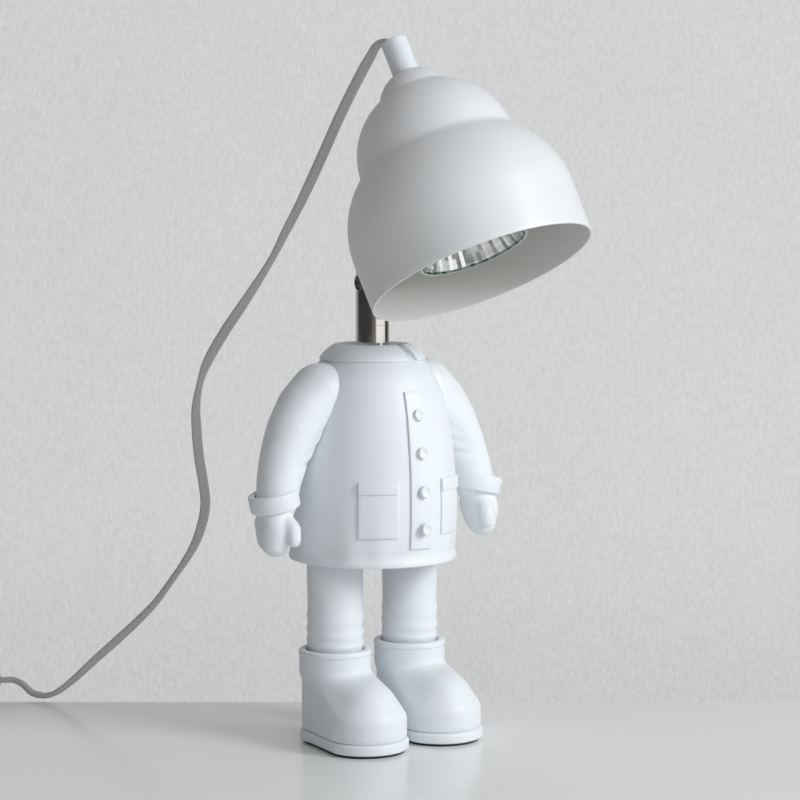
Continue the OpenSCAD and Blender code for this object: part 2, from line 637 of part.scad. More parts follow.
// Three tiers: a straight wall with a round shoulder, a dome and a cap cut flat for the grip
module shade_outline(inset) {
    polygon([[0, 0], [rim_r - inset, 0], [bell_r - inset, bell_wall_h], [0, bell_wall_h]]);
    tier(bell_x, bell_wall_h, bell_round - inset, bell_wall_h, groove_low);
    tier(dome_x, dome_z, dome_round - inset, dome_z, groove_top);
    tier(0, cap_z, cap_round - inset, groove_top, shade_h - inset);
}
module tier(x, z, r, z0, z1) intersection() {
    translate([x, z]) circle(r = r);
    translate([0, z0 - eps]) square([2 * bell_r, z1 - z0 + eps]);
}
module shade_solid(grow) rotate_extrude() shade_outline(-grow);
module shade() color(white) on_head() difference() {
    shade_solid(0);
    rotate_extrude() shade_outline(shade_t);
    bore(rim_r - shade_t, -1, eps);
    bore(tube_r + seat_fit, 0, shade_h + 1);
    along_wall() bore(m4 + hole_fit, -4, 2);
}

module cord_grip() color(white) on_head() difference() {
    translate([0, 0, grip_z]) rotate_extrude() polygon([[tube_r + run_fit, 0], [grip_r, 0],
        [grip_r, grip_h - 0.8], [grip_r - 0.6, grip_h], [mouth_r + 0.5, grip_h], [mouth_r, grip_h - 0.8],
        [mouth_r, grip_thread + grip_web], [web_hole, grip_thread + grip_web],
        [web_hole, grip_thread], [tube_r + run_fit, grip_thread]]);
    grip_screw_place() bore(m3 + run_fit, 0, 2 * grip_r);
}
// The clamp screw comes in square to the cord, on the far side from the figure's right front
module grip_screw_place() translate([0, 0, web_z + grip_web + m3 + 0.6])
    rotate([0, 0, -heading - route_turn]) rotate([-90, 0, 0]) children();
module grip_screw() color(steel) on_head() grip_screw_place() bore(m3, cord_w / 2 + 0.6, grip_r - 0.3);

module stem_tube() color("goldenrod") on_head() ring(tube_r, tube_r - tube_wall, tube_bottom, tube_top);
cap_under = shade_h - shade_t - eps;
module stem_washer() color(steel) on_head()
    ring(grip_r - seat_fit, tube_r + seat_fit, cap_under - washer_t, cap_under);
module stem_nuts() color("goldenrod") on_head() for (z = [bracket_z - nut_t, bracket_z + bracket_t,
    cap_under - washer_t - nut_t]) hex_nut(tube_r + 3, tube_r + run_fit, z, z + nut_t);

module holder_bracket() color(steel) on_head() difference() {
    union() {
        translate([-holder_r - bracket_t, -bracket_w / 2, bracket_z])
            cube([2 * (holder_r + bracket_t), bracket_w, bracket_t]);
        both_sides() translate([holder_r, -bracket_w / 2, bracket_screw_z - 5])
            cube([bracket_t, bracket_w, bracket_z + bracket_t - bracket_screw_z + 5]);
    }
    bore(tube_r + seat_fit, bracket_z - 1, bracket_z + bracket_t + 1);
    across_holder() bore(m3 + hole_fit, -2 * holder_r, 2 * holder_r);
}
module across_holder() translate([0, 0, bracket_screw_z]) rotate([0, 90, 0]) children();
module bracket_screws() color(steel) on_head() across_holder() for (s = [0, 1]) mirror([0, 0, s]) {
    bore(m3, pin_x + 3.5, holder_r + bracket_t + eps);
    bore(m3 * head_grow, holder_r + bracket_t, holder_r + bracket_t + m3);
}

socket_r = 2.8;
contact_t = 2;
module lamp_holder() color("ivory") on_head() difference() {
    bore(holder_r - run_fit, holder_z, holder_top);
    both_sides() translate([pin_x, 0, 0]) bore(socket_r, holder_z - 1, pin_top + seat_fit + contact_t);
    across_holder() for (s = [0, 1]) mirror([0, 0, s]) bore(m3 + run_fit, pin_x + 3.4, 2 * holder_r);
}
module holder_contacts() color("goldenrod") on_head() both_sides() translate([pin_x, 0, 0])
    bore(socket_r - run_fit, pin_top + seat_fit, pin_top + seat_fit + contact_t);
lead_r = 1.1;
module lamp_leads() color("white") on_head() both_sides() translate([lead_r + 0.3, 0, 0])
    bore(lead_r, holder_top, web_z);

// The bulb's glass bowl, its front glass, capsule, ceramic base and two pins
bowl_h = 36;
glass_t = 1.4;
rim_h = 3;
neck_hole = 8;
bowl_curve = [[bulb_r - 0.8, rim_h], [bulb_r - 1.5, bowl_h / 2], [bulb_r - 10, bowl_h - 5],
    [neck_hole + glass_t, bowl_h]];
bowl_steps = 14;
front_r = bulb_r - 2;
module bulb_reflector() color("silver") on_head() translate([0, 0, bulb_in]) rotate_extrude()
    polygon(concat([[front_r + run_fit, 0], [bulb_r, 0], [bulb_r, rim_h]],
        [for (k = [0 : bowl_steps]) curve(bowl_curve, k / bowl_steps)],
        [for (k = [bowl_steps : -1 : 0]) curve(bowl_curve, k / bowl_steps) - [glass_t, 0]],
        [[front_r - 1, rim_h], [front_r + run_fit, rim_h - 0.3]]));
module bulb_front_glass() color("lightcyan") on_head()
    bore(front_r, bulb_in + 0.5, bulb_in + rim_h - 0.35);
capsule_r = 4.5;
base_z = bulb_in + bowl_h;
module bulb_capsule() color("lightcyan") on_head() {
    bore(capsule_r, base_z - 16, base_z - 2);
    translate([0, 0, base_z - 16]) sphere(r = capsule_r);
}
module bulb_base() color("ivory") on_head() {
    bore(neck_hole - run_fit, base_z - 2, base_z + 1);
    intersection() {
        bore(neck_hole + 3, base_z, bulb_top);
        translate([-neck_hole - 3, -neck_hole, base_z]) cube([2 * neck_hole + 6, 2 * neck_hole, bulb_l]);
    }
}
module bulb_pins() color(steel) on_head() both_sides() translate([pin_x, 0, 0]) {
    bore(1.6, bulb_top, pin_top);
    bore(2.4, pin_top - 2.4, pin_top);
}

module cord_lead() color(cord_grey) skin(cord_rings(smoothed(lead_path, 2), depth_way(), cord_sides));
module cord_link() color(cord_grey) skin(cord_rings(smoothed(link_path, 2), [0, 0, 1], cord_sides));
module cord_coil() color(cord_grey) skin(coil_rings);
// The level direction away from the viewer of the figure's right front
function depth_way() = turn_z([0, 1, 0], -route_turn);
// Each tie is a flat band round the coil's turns
module cord_ties() color("dimgray") on_floor(coil_at) for (a = tie_angles) rotate([0, 0, a])
    translate([coil_r - coil_pitch * coil_turns - cord_w / 2 - tie_gap - tie_t, -tie_w / 2, 0])
        difference() {
            cube([coil_pitch * coil_turns + cord_w + 2 * (tie_gap + tie_t), tie_w, tie_top + tie_t]);
            translate([tie_t, -1, tie_t]) cube([coil_pitch * coil_turns + cord_w + 2 * tie_gap,
                tie_w + 2, tie_top - tie_t]);
        }
tie_top = coil_z + layer_step + cord_t / 2 + tie_gap;

module at_dimmer() on_floor(dimmer_at) translate([sleeve_l, 0, 0]) children();
module dimmer_block(z0, z1, inset) translate([inset, inset - dimmer_w / 2, z0])
    cube([dimmer_l - 2 * inset, dimmer_w - 2 * inset, z1 - z0]);
module dimmer_sleeve() rotate([0, 90, 0]) translate([0, 0, -sleeve_l])
    cylinder(r1 = cord_w / 2 + 0.8, r2 = cord_w / 2 + 2.5, h = sleeve_l + 1);
module at_wheel() translate([dimmer_l / 2, -wheel_y, 0]) children();
dimmer_screw_x = [6, dimmer_l - 6];
// Both shells are cut at mid height; the sleeves belong to the lower and the upper half alike
module dimmer_shell(z0, z1) difference() {
    intersection() {
        union() {
            dimmer_block(0, dimmer_h, 0);
            translate([0, 0, dimmer_z]) dimmer_sleeve();
            translate([dimmer_l, 0, dimmer_z]) mirror([1, 0, 0]) dimmer_sleeve();
        }
        translate([-dimmer_l, -dimmer_w, z0]) cube([3 * dimmer_l, 2 * dimmer_w, z1 - z0]);
    }
    difference() {
        dimmer_block(dimmer_wall, dimmer_h - dimmer_wall, dimmer_wall);
        for (x = dimmer_screw_x) translate([x, dimmer_w / 2 - 6, 0]) bore(3.5, 0, dimmer_h);
        at_wheel() {
            bore(bush_r, 0, dimmer_z - wheel_t / 2 - seat_fit);
            bore(bush_r, dimmer_z + wheel_t / 2 + seat_fit, dimmer_h);
        }
    }
    at_wheel() bore(wheel_r + 0.6, dimmer_z - wheel_t / 2 - seat_fit, dimmer_z + wheel_t / 2 + seat_fit);
    at_wheel() bore(spindle_r + run_fit, dimmer_wall, dimmer_h - dimmer_wall);
    for (x = dimmer_screw_x) translate([x, dimmer_w / 2 - 6, 0]) {
        bore(m3 + hole_fit, -1, dimmer_h - dimmer_wall);
        bore(m3 * head_grow + hole_fit, -1, m3);
    }
}
module dimmer_base() color(white) at_dimmer() dimmer_shell(0, dimmer_z);
module dimmer_cover() color(white) at_dimmer() dimmer_shell(dimmer_z, dimmer_h);
module dimmer_wheel() color("dimgray") at_dimmer() at_wheel() difference() {
    union() {
        bore(wheel_r, dimmer_z - wheel_t / 2, dimmer_z + wheel_t / 2);
        bore(spindle_r, dimmer_wall + seat_fit, dimmer_h - dimmer_wall - seat_fit);
    }
    for (a = [0 : 15 : 345]) rotate([0, 0, a]) translate([wheel_r + 0.4, 0, 0])
        bore(0.8, dimmer_z - wheel_t, dimmer_z + wheel_t);
}
module dimmer_board() color("seagreen") at_dimmer()
    translate([dimmer_wall + 9, dimmer_w / 2 - dimmer_wall - 9, dimmer_wall])
        cube([dimmer_l - 2 * dimmer_wall - 18, 8.5, 1.6]);
module dimmer_screws() color(steel) at_dimmer() for (x = dimmer_screw_x)
    translate([x, dimmer_w / 2 - 6, 0]) {
        bore(m3, m3 - eps, dimmer_h - dimmer_wall - 0.5);
        bore(m3 * head_grow, 0.3, m3);
    }

// The plug lies flat behind the coil, with its pins pointing away
module at_plug() on_floor(plug_start) translate([0, 0, plug_z]) rotate([0, 0, -90])
    rotate([0, 90, 0]) children();
module plug_relief() color(white) at_plug()
    cylinder(r1 = cord_w / 2 + 0.5, r2 = plug_z - 1.2, h = relief_l);
module plug_body() color(white) at_plug() hull() {
    translate([-plug_z, -plug_w / 2, relief_l + plug_l / 2]) cube([2 * plug_z, plug_w, plug_l / 2]);
    translate([-plug_z + 1, -plug_w / 4, relief_l]) cube([2 * plug_z - 2, plug_w / 2, 1]);
}
module plug_pins() color(steel) at_plug() both_plug_pins()
    bore(plug_pin_r, relief_l + plug_l, relief_l + plug_l + plug_pin_l);
module both_plug_pins() for (s = [-1, 1]) translate([0, s * plug_pin_gap / 2, 0]) children();

echo(coil_gap = coil_gap(), neck_y = neck_y, pivot = head_point([0, pivot_v, pivot_t]),
    gland = head_point([0, 0, grip_z + grip_h]), rim = head_point([0, 0, 0]), pivot_z = pivot_z,
    coat_top = coat_top, hem_z = hem_z, shade_h = shade_h, wheel = on_wheel());
function on_wheel() = on_route([dimmer_at[0] + sleeve_l + dimmer_l / 2, dimmer_at[1] + wheel_y, 0, 0]);

coat();
hip_plate();
hip_screws();
right_leg();
left_leg();
right_boot();
left_boot();
right_sole_pad();
left_sole_pad();
leg_bolts();
leg_washers();
leg_nuts();
right_arm();
left_arm();
arm_dowels();
neck_post();
neck_washer();
neck_nut();
swivel_fork();
swivel_stop_pin();
swivel_washer();
swivel_screw();
tilt_bolt();
tilt_nut();
friction_washers();
tilt_tongue();
tongue_washer();
tongue_screw();
shade();
cord_grip();
grip_screw();
stem_tube();
stem_washer();
stem_nuts();
holder_bracket();
bracket_screws();
lamp_holder();
holder_contacts();
lamp_leads();
bulb_reflector();
bulb_front_glass();
bulb_capsule();
bulb_base();
bulb_pins();
cord_lead();
dimmer_base();
dimmer_cover();
dimmer_wheel();
dimmer_board();
dimmer_screws();
cord_link();
cord_coil();
cord_ties();
plug_relief();
plug_body();
plug_pins();
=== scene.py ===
# %% [markdown]
# # A figure table lamp
# A small figure in a plain coat carries a tiered bell shade on a short neck that swivels and tilts. A
# reflector bulb sits in the shade, and a flat cord leaves its top. The solids come in as a fixed frame, in
# metres, and each step below dresses one piece of them.

# %% Load the frame
from contextlib import contextmanager
from functools import partialmethod
from math import asin, atan2, copysign, cos, degrees, exp, floor, hypot, pi, radians, sin

import bpy
from mathutils import Matrix, Vector


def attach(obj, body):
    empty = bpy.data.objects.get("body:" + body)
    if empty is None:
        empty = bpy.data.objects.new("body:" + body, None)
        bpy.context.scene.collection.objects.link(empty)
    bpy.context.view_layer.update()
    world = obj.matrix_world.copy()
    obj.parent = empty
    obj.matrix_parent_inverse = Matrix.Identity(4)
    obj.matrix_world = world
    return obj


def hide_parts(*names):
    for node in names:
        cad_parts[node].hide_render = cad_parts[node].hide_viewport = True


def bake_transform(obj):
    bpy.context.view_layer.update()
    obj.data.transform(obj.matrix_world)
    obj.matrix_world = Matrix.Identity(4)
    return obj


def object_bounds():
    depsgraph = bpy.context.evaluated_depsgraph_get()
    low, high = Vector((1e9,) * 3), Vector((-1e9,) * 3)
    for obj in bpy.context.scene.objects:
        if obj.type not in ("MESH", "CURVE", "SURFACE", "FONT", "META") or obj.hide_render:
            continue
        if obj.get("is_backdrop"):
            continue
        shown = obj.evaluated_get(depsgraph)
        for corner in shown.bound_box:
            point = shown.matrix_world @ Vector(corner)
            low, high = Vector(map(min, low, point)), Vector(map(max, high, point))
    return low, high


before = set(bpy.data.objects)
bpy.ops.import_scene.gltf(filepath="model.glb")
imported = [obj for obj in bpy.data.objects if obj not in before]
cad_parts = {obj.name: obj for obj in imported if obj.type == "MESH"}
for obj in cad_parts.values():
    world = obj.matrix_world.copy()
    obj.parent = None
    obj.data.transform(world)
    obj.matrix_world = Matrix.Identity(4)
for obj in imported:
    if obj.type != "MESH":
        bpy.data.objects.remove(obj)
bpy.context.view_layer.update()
scene = bpy.context.scene
scene.view_settings.view_transform = "Standard"

# %% [markdown]
# ## Camera
# The photograph was taken from the figure's right front, a little above the shade's rim, with a long lens. A
# constraint could aim the camera, but plain angles are easier to read: it is turned 36 degrees and dips by
# about 5.

# %% Camera
DIP, HEADING = 5.024, -36.07
camera_data = bpy.data.cameras.new("camera")
camera_data.lens = 112.5
camera_data.sensor_width = 36
camera = bpy.data.objects.new("camera", camera_data)
camera.location = (-0.8182, -1.1078, 0.3166)
camera.rotation_euler = (radians(90 - DIP), 0, radians(HEADING))
scene.collection.objects.link(camera)
scene.camera = camera
print("camera at", camera.location[:])

# %% [markdown]
# ## Places
# Three frames carry every piece: the neck's axis on the table, the swivel, turned a little to the figure's
# left, and the head, whose zero is the middle of the shade's rim. Pieces could hang on empties, but the
# export wants each place in the mesh, so plain matrices are used. Two directions are the photograph's own: to
# its right, and away from where it was taken.

# %% Places
MM = 0.001
NECK_Y = 42.0017 * MM
PIVOT = (0, 2.5 * MM, 259.2 * MM)  # the tilt bolt, from the neck's axis
RIM_FROM_PIVOT = (0, -76 * MM, -30 * MM)
ROUTE_TURN = radians(36)
RIGHT = Vector((cos(ROUTE_TURN), -sin(ROUTE_TURN), 0))
DEPTH_WAY = Vector((sin(ROUTE_TURN), cos(ROUTE_TURN), 0))
UP = Vector((0, 0, 1))


def mm(x, y, z):
    """A point given in millimetres."""
    return Vector((x, y, z)) * MM


def shift(x, y, z):
    """A move given in millimetres."""
    return Matrix.Translation(mm(x, y, z))


def turn(angle, axis):
    return Matrix.Rotation(radians(angle), 4, axis)


def route(left, back, up):
    """A point given left of the neck, behind it and up, as the photograph shows it."""
    c, s = cos(ROUTE_TURN), sin(ROUTE_TURN)
    return Vector((-left * c + back * s, left * s + back * c, up)) * MM + Vector((0, NECK_Y, 0))


STAND = Matrix.Translation((0, NECK_Y, 0))
SWIVEL = STAND @ turn(14, "Z")
HEAD = SWIVEL @ Matrix.Translation(PIVOT) @ turn(-26.3, "X") @ Matrix.Translation(RIM_FROM_PIVOT)
print("rim's middle at", HEAD.translation[:])

# %% [markdown]
# ## Helpers for modelling
# The lamp is mostly turned work. A Screw modifier could make it, but a spin in edit mode is what one does by
# hand, so one helper draws a half outline by extruding a vertex from point to point and spins it. The others
# select, copy, join, cut and round pieces, and put them in their place.


# %% Helpers for modelling
ops = bpy.ops.mesh
BOTH = (("right", -1), ("left", 1))


def clear_selection():
    if bpy.context.mode != "OBJECT":
        bpy.ops.object.mode_set(mode="OBJECT")
    bpy.ops.object.select_all(action="DESELECT")


def pick(piece):
    clear_selection()
    piece.select_set(True)
    bpy.context.view_layer.objects.active = piece


@contextmanager
def editing(piece, whole=True):
    """Edit a piece's mesh, all of it selected or what was picked before."""
    pick(piece)
    bpy.ops.object.mode_set(mode="EDIT")
    if whole:
        ops.select_all(action="SELECT")
    yield
    bpy.ops.object.mode_set(mode="OBJECT")


def made(kind, name=None, **settings):
    """Add a plain shape."""
    clear_selection()
    getattr(ops, f"primitive_{kind}_add")(**settings)
    piece = bpy.context.object
    if name:
        piece.name = piece.data.name = name
    return piece


def twin(piece, name):
    pick(piece)
    bpy.ops.object.duplicate()
    copy = bpy.context.object
    copy.name = copy.data.name = name
    return copy


def lathed(name, outline, steps=96, sweep=360, soft=None):
    """Spin an outline of (radius, height) about the vertical."""
    points = [mm(r, 0, z) for r, z in outline]
    piece = made("plane", name, size=MM)
    with editing(piece):
        ops.merge(type="CENTER")
        bpy.ops.transform.translate(value=points[0])
        for a, b in zip(points, points[1:]):
            ops.extrude_region_move(TRANSFORM_OT_translate={"value": b - a})
        ops.select_all(action="SELECT")
        ops.spin(steps=steps, angle=radians(sweep), center=(0, 0, 0), axis=(0, 0, 1))
        ops.select_all(action="SELECT")
        ops.remove_doubles(threshold=1e-6)
        if sweep < 360:
            ops.select_mode(type="VERT")
            ops.select_all(action="DESELECT")
            ops.select_non_manifold()
            ops.edge_face_add()
            ops.select_all(action="SELECT")
        ops.normals_make_consistent()
    if soft:
        smooth(piece, soft)
    return piece


def smooth(piece, angle):
    """Shade a piece smooth, apart from its sharp edges."""
    pick(piece)
    bpy.ops.object.shade_smooth_by_angle(angle=radians(angle))


def modify(piece, kind, **settings):
    """Add a modifier and apply it."""
    pick(piece)
    modifier = piece.modifiers.new(kind.lower(), kind)
    for key, value in settings.items():
        setattr(modifier, key, value)
    bpy.ops.object.modifier_apply(modifier=modifier.name)


def bevel(piece, width, segments, angle):
    """Round the edges that are sharper than an angle."""
    modify(piece, "BEVEL", width=width * MM, segments=segments, limit_method="ANGLE",
           angle_limit=radians(angle))


def cut(piece, tool):
    """Cut a tool's shape out of a piece."""
    modify(piece, "BOOLEAN", object=tool, operation="DIFFERENCE", solver="EXACT")
    bpy.data.objects.remove(tool)


def settle(piece, place=None):
    """Put a piece in its place, and that place in its mesh."""
    if place:
        piece.matrix_world = place
    pick(piece)
    bpy.ops.object.transform_apply()


def dress(piece, slot, body, *nodes):
    """Give a piece its look, the body it moves with and the nodes it stands for."""
    piece.data.materials.clear()
    piece.data.materials.append(LOOKS[slot])
    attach(piece, body)
    if nodes:
        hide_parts(*nodes)


def joined(name, parts):
    """Join parts into the first of them."""
    clear_selection()
    for part in parts:
        part.select_set(True)
    bpy.context.view_layer.objects.active = parts[0]
    bpy.ops.object.join()
    parts[0].name = parts[0].data.name = name
    return parts[0]


def arc(x, z, r, start, end, count):
    """Points of an arc; angles start from outward and go up."""
    angles = [radians(start + (end - start) * k / count) for k in range(count + 1)]
    return [(x + r * cos(a), z + r * sin(a)) for a in angles]


def count_faces(*pieces):
    print(pieces[0].name, "faces:", sum(len(piece.data.polygons) for piece in pieces))


print("helpers ready")

# %% [markdown]
# ## The cord's line
# The cord is flat twin flex, 6 mm by 3.6 mm. A curve with a bevel would give it a round section, so its line
# is a list of points with a twist, and the section is swept along it: out of the grip, over its lip, down
# behind the figure in a long lazy curve, and along the table to the dimmer.

# %% The cord's line
LEAD = [(-12.3, -10.4, 391.2, 0), (-8.7, -7.4, 393.4, 5), (-4.7, -4.1, 392.9, 20), (-1.9, -1.7, 390.6, 40),
        (-0.6, -0.5, 388.3, 50), (1.5, 0.9, 384.6, 65), (4.3, 2.4, 379.8, 80), (9.6, 5, 370, 90),
        (14.7, 6.8, 360, 90), (20, 9, 349, 90), (30, 14, 327, 90), (41, 20, 304, 58), (50, 25, 287, 42),
        (59, 30, 270, 22), (74, 38, 247, 58), (87, 45, 228, 90), (97, 52, 211, 62), (102, 57, 198, 16),
        (105, 62, 183, 45), (105, 66, 168, 75), (104, 70, 152, 80), (102, 74, 137, 80), (101, 77, 124, 80),
        (103, 80, 112, 70), (108, 85, 98, 50), (115, 89, 86, 30), (124, 94, 73, 20), (133.5, 97, 60, 30),
        (145, 98, 48, 45), (158, 97, 36, 50), (171, 95.5, 24.5, 45), (183, 93.5, 13.5, 30),
        (192, 92.3, 6.6, 15), (199, 93.7, 3.4, 5), (205.5, 98, 2.8, 0), (210.5, 104.3, 3, 0),
        (214.5, 110.8, 4.4, 0), (218.8, 115.9, 6.4, 0)]  # left, back, up, and the twist in degrees
LINK = [(323, 122, 7), (333, 131, 5), (339, 143, 4), (341, 156, 3)]
JOIN = 17  # where the upper run ends and the lower one starts: a point of LEAD
WEB_UP, IN_GRIP = 131.97, (0, 2, 4)  # the grip's inner web on the head's axis, and points above it
DIMMER_START, DIMMER_END, DIMMER_BACK, DIMMER_UP = 232, 304, 118, 8
COIL_L, COIL_B, COIL_R, COIL_PITCH, COIL_TURNS = 298, 184, 42, 6.6, 2.5
COIL_UP, LAYER, PLUG_BACK = 3.2, 4.1, 27
CORD_W, CORD_T = 6.0, 3.6


def coil_point(turned):
    """A point of the coil: it winds in on the lower layer and out on the upper."""
    half = 360 * COIL_TURNS
    r = COIL_R - COIL_PITCH * (half - abs(half - turned)) / 360
    up = COIL_UP + LAYER * min(max((turned - half + 90) / 180, 0), 1)
    a = radians(turned)
    return route(COIL_L + r * cos(a), COIL_B + r * sin(a), up)


lead_points = [(HEAD @ mm(0, 0, WEB_UP + up), 0) for up in IN_GRIP]
lead_points += [(route(l, b, z), twist) for l, b, z, twist in LEAD]
lead_points += [(route(DIMMER_START - k, DIMMER_BACK, DIMMER_UP), 0) for k in (8, 4, 0)]
store_points = [route(DIMMER_END + k, DIMMER_BACK, DIMMER_UP) for k in (0, 4, 8)] + [route(*p) for p in LINK]
store_points += [route(COIL_L + COIL_R, COIL_B - k, COIL_UP) for k in (14, 10, 6)]
store_points += [coil_point(g) for g in range(0, int(720 * COIL_TURNS) + 1, 15)]
store_points += [route(COIL_L + COIL_R, COIL_B + k, COIL_UP + LAYER) for k in (PLUG_BACK / 2, PLUG_BACK)]
print("points on the run and in the store:", len(lead_points), len(store_points))

# %% [markdown]
# ## The cord's skin
# Two insulated cores lie side by side in the sheath, which leaves a shallow valley down both flat sides. A
# curve's bevel object could give that section, but its turn is hard to steer, so each ring is set square to
# the line, with its wide side turned by the twist.

# %% The cord's skin
LEAD_STEPS, STORE_STEPS, SIDES = 6, 3, 24
CORNER, VALLEY, VALLEY_WIDE = 0.95, 0.15, 0.75


def eased(points, steps):
    """A smooth run through points and twists."""
    out = []
    for i in range(len(points) - 1):
        near = [points[max(min(k, len(points) - 1), 0)] for k in (i - 1, i, i + 1, i + 2)]
        for k in range(steps):
            t = k / steps
            w = ((2 * t * t - t - t ** 3) / 2, (2 - 5 * t * t + 3 * t ** 3) / 2,
                 (t + 4 * t * t - 3 * t ** 3) / 2, (t ** 3 - t * t) / 2)
            place = sum((p[0] * f for p, f in zip(near, w)), Vector())
            out.append((place, sum(p[1] * f for p, f in zip(near, w))))
    return out + [points[-1]]


def section_point(k):
    """A point of the section, across and through."""
    g = 2 * pi * k / SIDES
    u, v = (wide / 2 * copysign(abs(x) ** CORNER, x)
            for wide, x in ((CORD_W, cos(g)), (CORD_T, sin(g))))
    return u, v * (1 - VALLEY * exp(-(u / VALLEY_WIDE) ** 2))


def flat_cord(name, line, reference, first=0, last=-1):
    """A closed tube with the flat section along a line, or along a stretch of it."""
    section = [section_point(k) for k in range(SIDES)]
    verts, faces = [], []
    count = last % len(line) - first + 1
    for i in range(first, first + count):
        place, twist = line[i]
        along = (line[min(i + 1, len(line) - 1)][0] - line[max(i - 1, 0)][0]).normalized()
        across = (reference - reference.dot(along) * along).normalized()
        third = along.cross(across)
        c, s = cos(radians(twist)), sin(radians(twist))
        verts += [place + MM * ((u * c - v * s) * across + (u * s + v * c) * third) for u, v in section]
    for i in range(count - 1):
        for k in range(SIDES):
            m = (k + 1) % SIDES
            faces.append((i * SIDES + k, i * SIDES + m, (i + 1) * SIDES + m, (i + 1) * SIDES + k))
    faces += [range(SIDES)[::-1], range((count - 1) * SIDES, count * SIDES)]
    mesh = bpy.data.meshes.new(name)
    mesh.from_pydata(verts, [], faces)
    piece = bpy.data.objects.new(name, mesh)
    scene.collection.objects.link(piece)
    smooth(piece, 60)
    return piece


def line_length(line):
    return sum((b[0] - a[0]).length for a, b in zip(line, line[1:]))


lead_line = eased(lead_points, LEAD_STEPS)
join_at = (JOIN + len(IN_GRIP)) * LEAD_STEPS
upper_line, lower_line = lead_line[:join_at + 1], lead_line[join_at:]
store_line = eased([(p, 90) for p in store_points], STORE_STEPS)
cord_upper = flat_cord("cord_upper_run", lead_line, DEPTH_WAY, last=join_at)
cord_lower = flat_cord("cord_lower_run", lead_line, DEPTH_WAY, first=join_at)
cord_store = flat_cord("cord_stored_coil", store_line, UP)
print("cord lengths:", [round(line_length(l), 3) for l in (upper_line, lower_line, store_line)])

# %% [markdown]
# ## What the cord does
# A cord could hang on one body, but this one has to follow two joints, so it is made as two runs: the upper
# reaches from the head to the swivel, the lower from the swivel to the table. Both keep their place in the
# mesh, and the stored length stays with the figure.

# %% What the cord does
for piece, node in ((cord_upper, "cord_lead"), (cord_lower, "cord_lead"), (cord_store, "cord_coil")):
    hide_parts(node)
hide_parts("cord_link")
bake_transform(cord_upper)
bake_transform(cord_lower)
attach(cord_store, "figure")

# %% [markdown]
# ## Shader sums
# A finish could be wired node by node, but sums are easier to read. One small class wraps a socket, so that 1
# - mask adds the node it needs, and one method makes any other node from its type, its settings and what goes
# into it.


# %% Shader sums
class Value:
    """A socket that can stand in a sum."""

    def __init__(self, finish, socket):
        self.finish, self.socket = finish, socket

    def reckon(self, operation, other):
        return self.finish.reckon(operation, self, other)

    def reflected(self, operation, other):
        return self.finish.reckon(operation, other, self)

    __add__ = __radd__ = partialmethod(reckon, "ADD")
    __mul__ = __rmul__ = partialmethod(reckon, "MULTIPLY")
    __sub__, __rsub__ = partialmethod(reckon, "SUBTRACT"), partialmethod(reflected, "SUBTRACT")
    __truediv__, __rtruediv__ = partialmethod(reckon, "DIVIDE"), partialmethod(reflected, "DIVIDE")
    __pow__, __rpow__ = partialmethod(reckon, "POWER"), partialmethod(reflected, "POWER")


class Nodes:
    """A node tree, made node by node."""

    def __init__(self, owner, shader):
        owner.use_nodes = True
        self.tree = owner.node_tree
        self.shader = self.tree.nodes[shader]

    def node(self, kind, settings=(), inputs=(), out=0):
        made = self.tree.nodes.new("ShaderNode" + kind)
        for key, value in dict(settings).items():
            if key == "stops":
                for i, (place, colour) in enumerate(value):
                    stop = made.color_ramp.elements[i] if i < 2 else made.color_ramp.elements.new(place)
                    stop.position, stop.color = place, colour
            else:
                setattr(made, key, value)
        for key, value in dict(inputs).items():
            self.feed(made.inputs[key], value)
        return Value(self, made.outputs[out])

    def feed(self, socket, value):
        if isinstance(value, Value):
            self.tree.links.new(value.socket, socket)
        else:
            socket.default_value = value

    def give(self, **sockets):
        for socket, value in sockets.items():
            self.feed(self.shader.inputs[socket.replace("_", " ")], value)

    def reckon(self, operation, first, second=0.0):
        return self.node("Math", {"operation": operation}, {0: first, 1: second})

    def vector(self, operation, first, second, out=0):
        return self.node("VectorMath", {"operation": operation}, {0: first, 1: second}, out=out)

    def dot(self, first, second):
        return self.vector("DOT_PRODUCT", first, second, out=1)

    def part(self, vector, axis):
        """One of a vector's three parts."""
        return self.node("SeparateXYZ", {}, {0: vector}, out=axis)

    def ramp(self, value, low, high, start=0.0, end=1.0, kind="LINEAR"):
        """Go from start to end while a value goes from low to high."""
        ends = {0: value, 1: low, 2: high, 3: start, 4: end}
        return self.node("MapRange", {"interpolation_type": kind}, ends)

    def place(self):
        return self.node("TexCoord", out="Object")

    def noise(self, size, detail=2, stretch=None):
        """A random pattern with blotches of about this size."""
        where = self.place()
        if stretch:
            where = self.node("Mapping", {}, {"Vector": where, "Scale": stretch})
        return self.node("TexNoise", {}, {"Vector": where, "Scale": 1 / size, "Detail": detail})

    def blend(self, low, high, factor):
        """A colour between two colours."""
        return self.node("Mix", {"data_type": "RGBA"}, {0: factor, 6: low, 7: high}, out=2)

    def bump(self, height, depth):
        return self.node("Bump", {}, {"Height": height, "Distance": depth, "Strength": 1.0})


class Finish(Nodes):
    """A material. Sockets that are the same all over are set by name."""

    def __init__(self, name, **same_all_over):
        self.material = bpy.data.materials.new(name)
        super().__init__(self.material, "Principled BSDF")
        self.give(**same_all_over)


def between(ends, factor):
    """A value that goes from the first end to the second."""
    return ends[0] + (ends[1] - ends[0]) * factor


print("finishes can be written as sums")

# %% [markdown]
# ## Painted, cast and moulded finishes
# White resin and paint look flat in one colour. Real ones are a little cloudy, have a grain, and their gloss
# changes from place to place. Pictures could be painted for that, but noise has no seams, so one helper makes
# all of these from a dark and a light tone, a range of roughness, and the grain's size and depth.


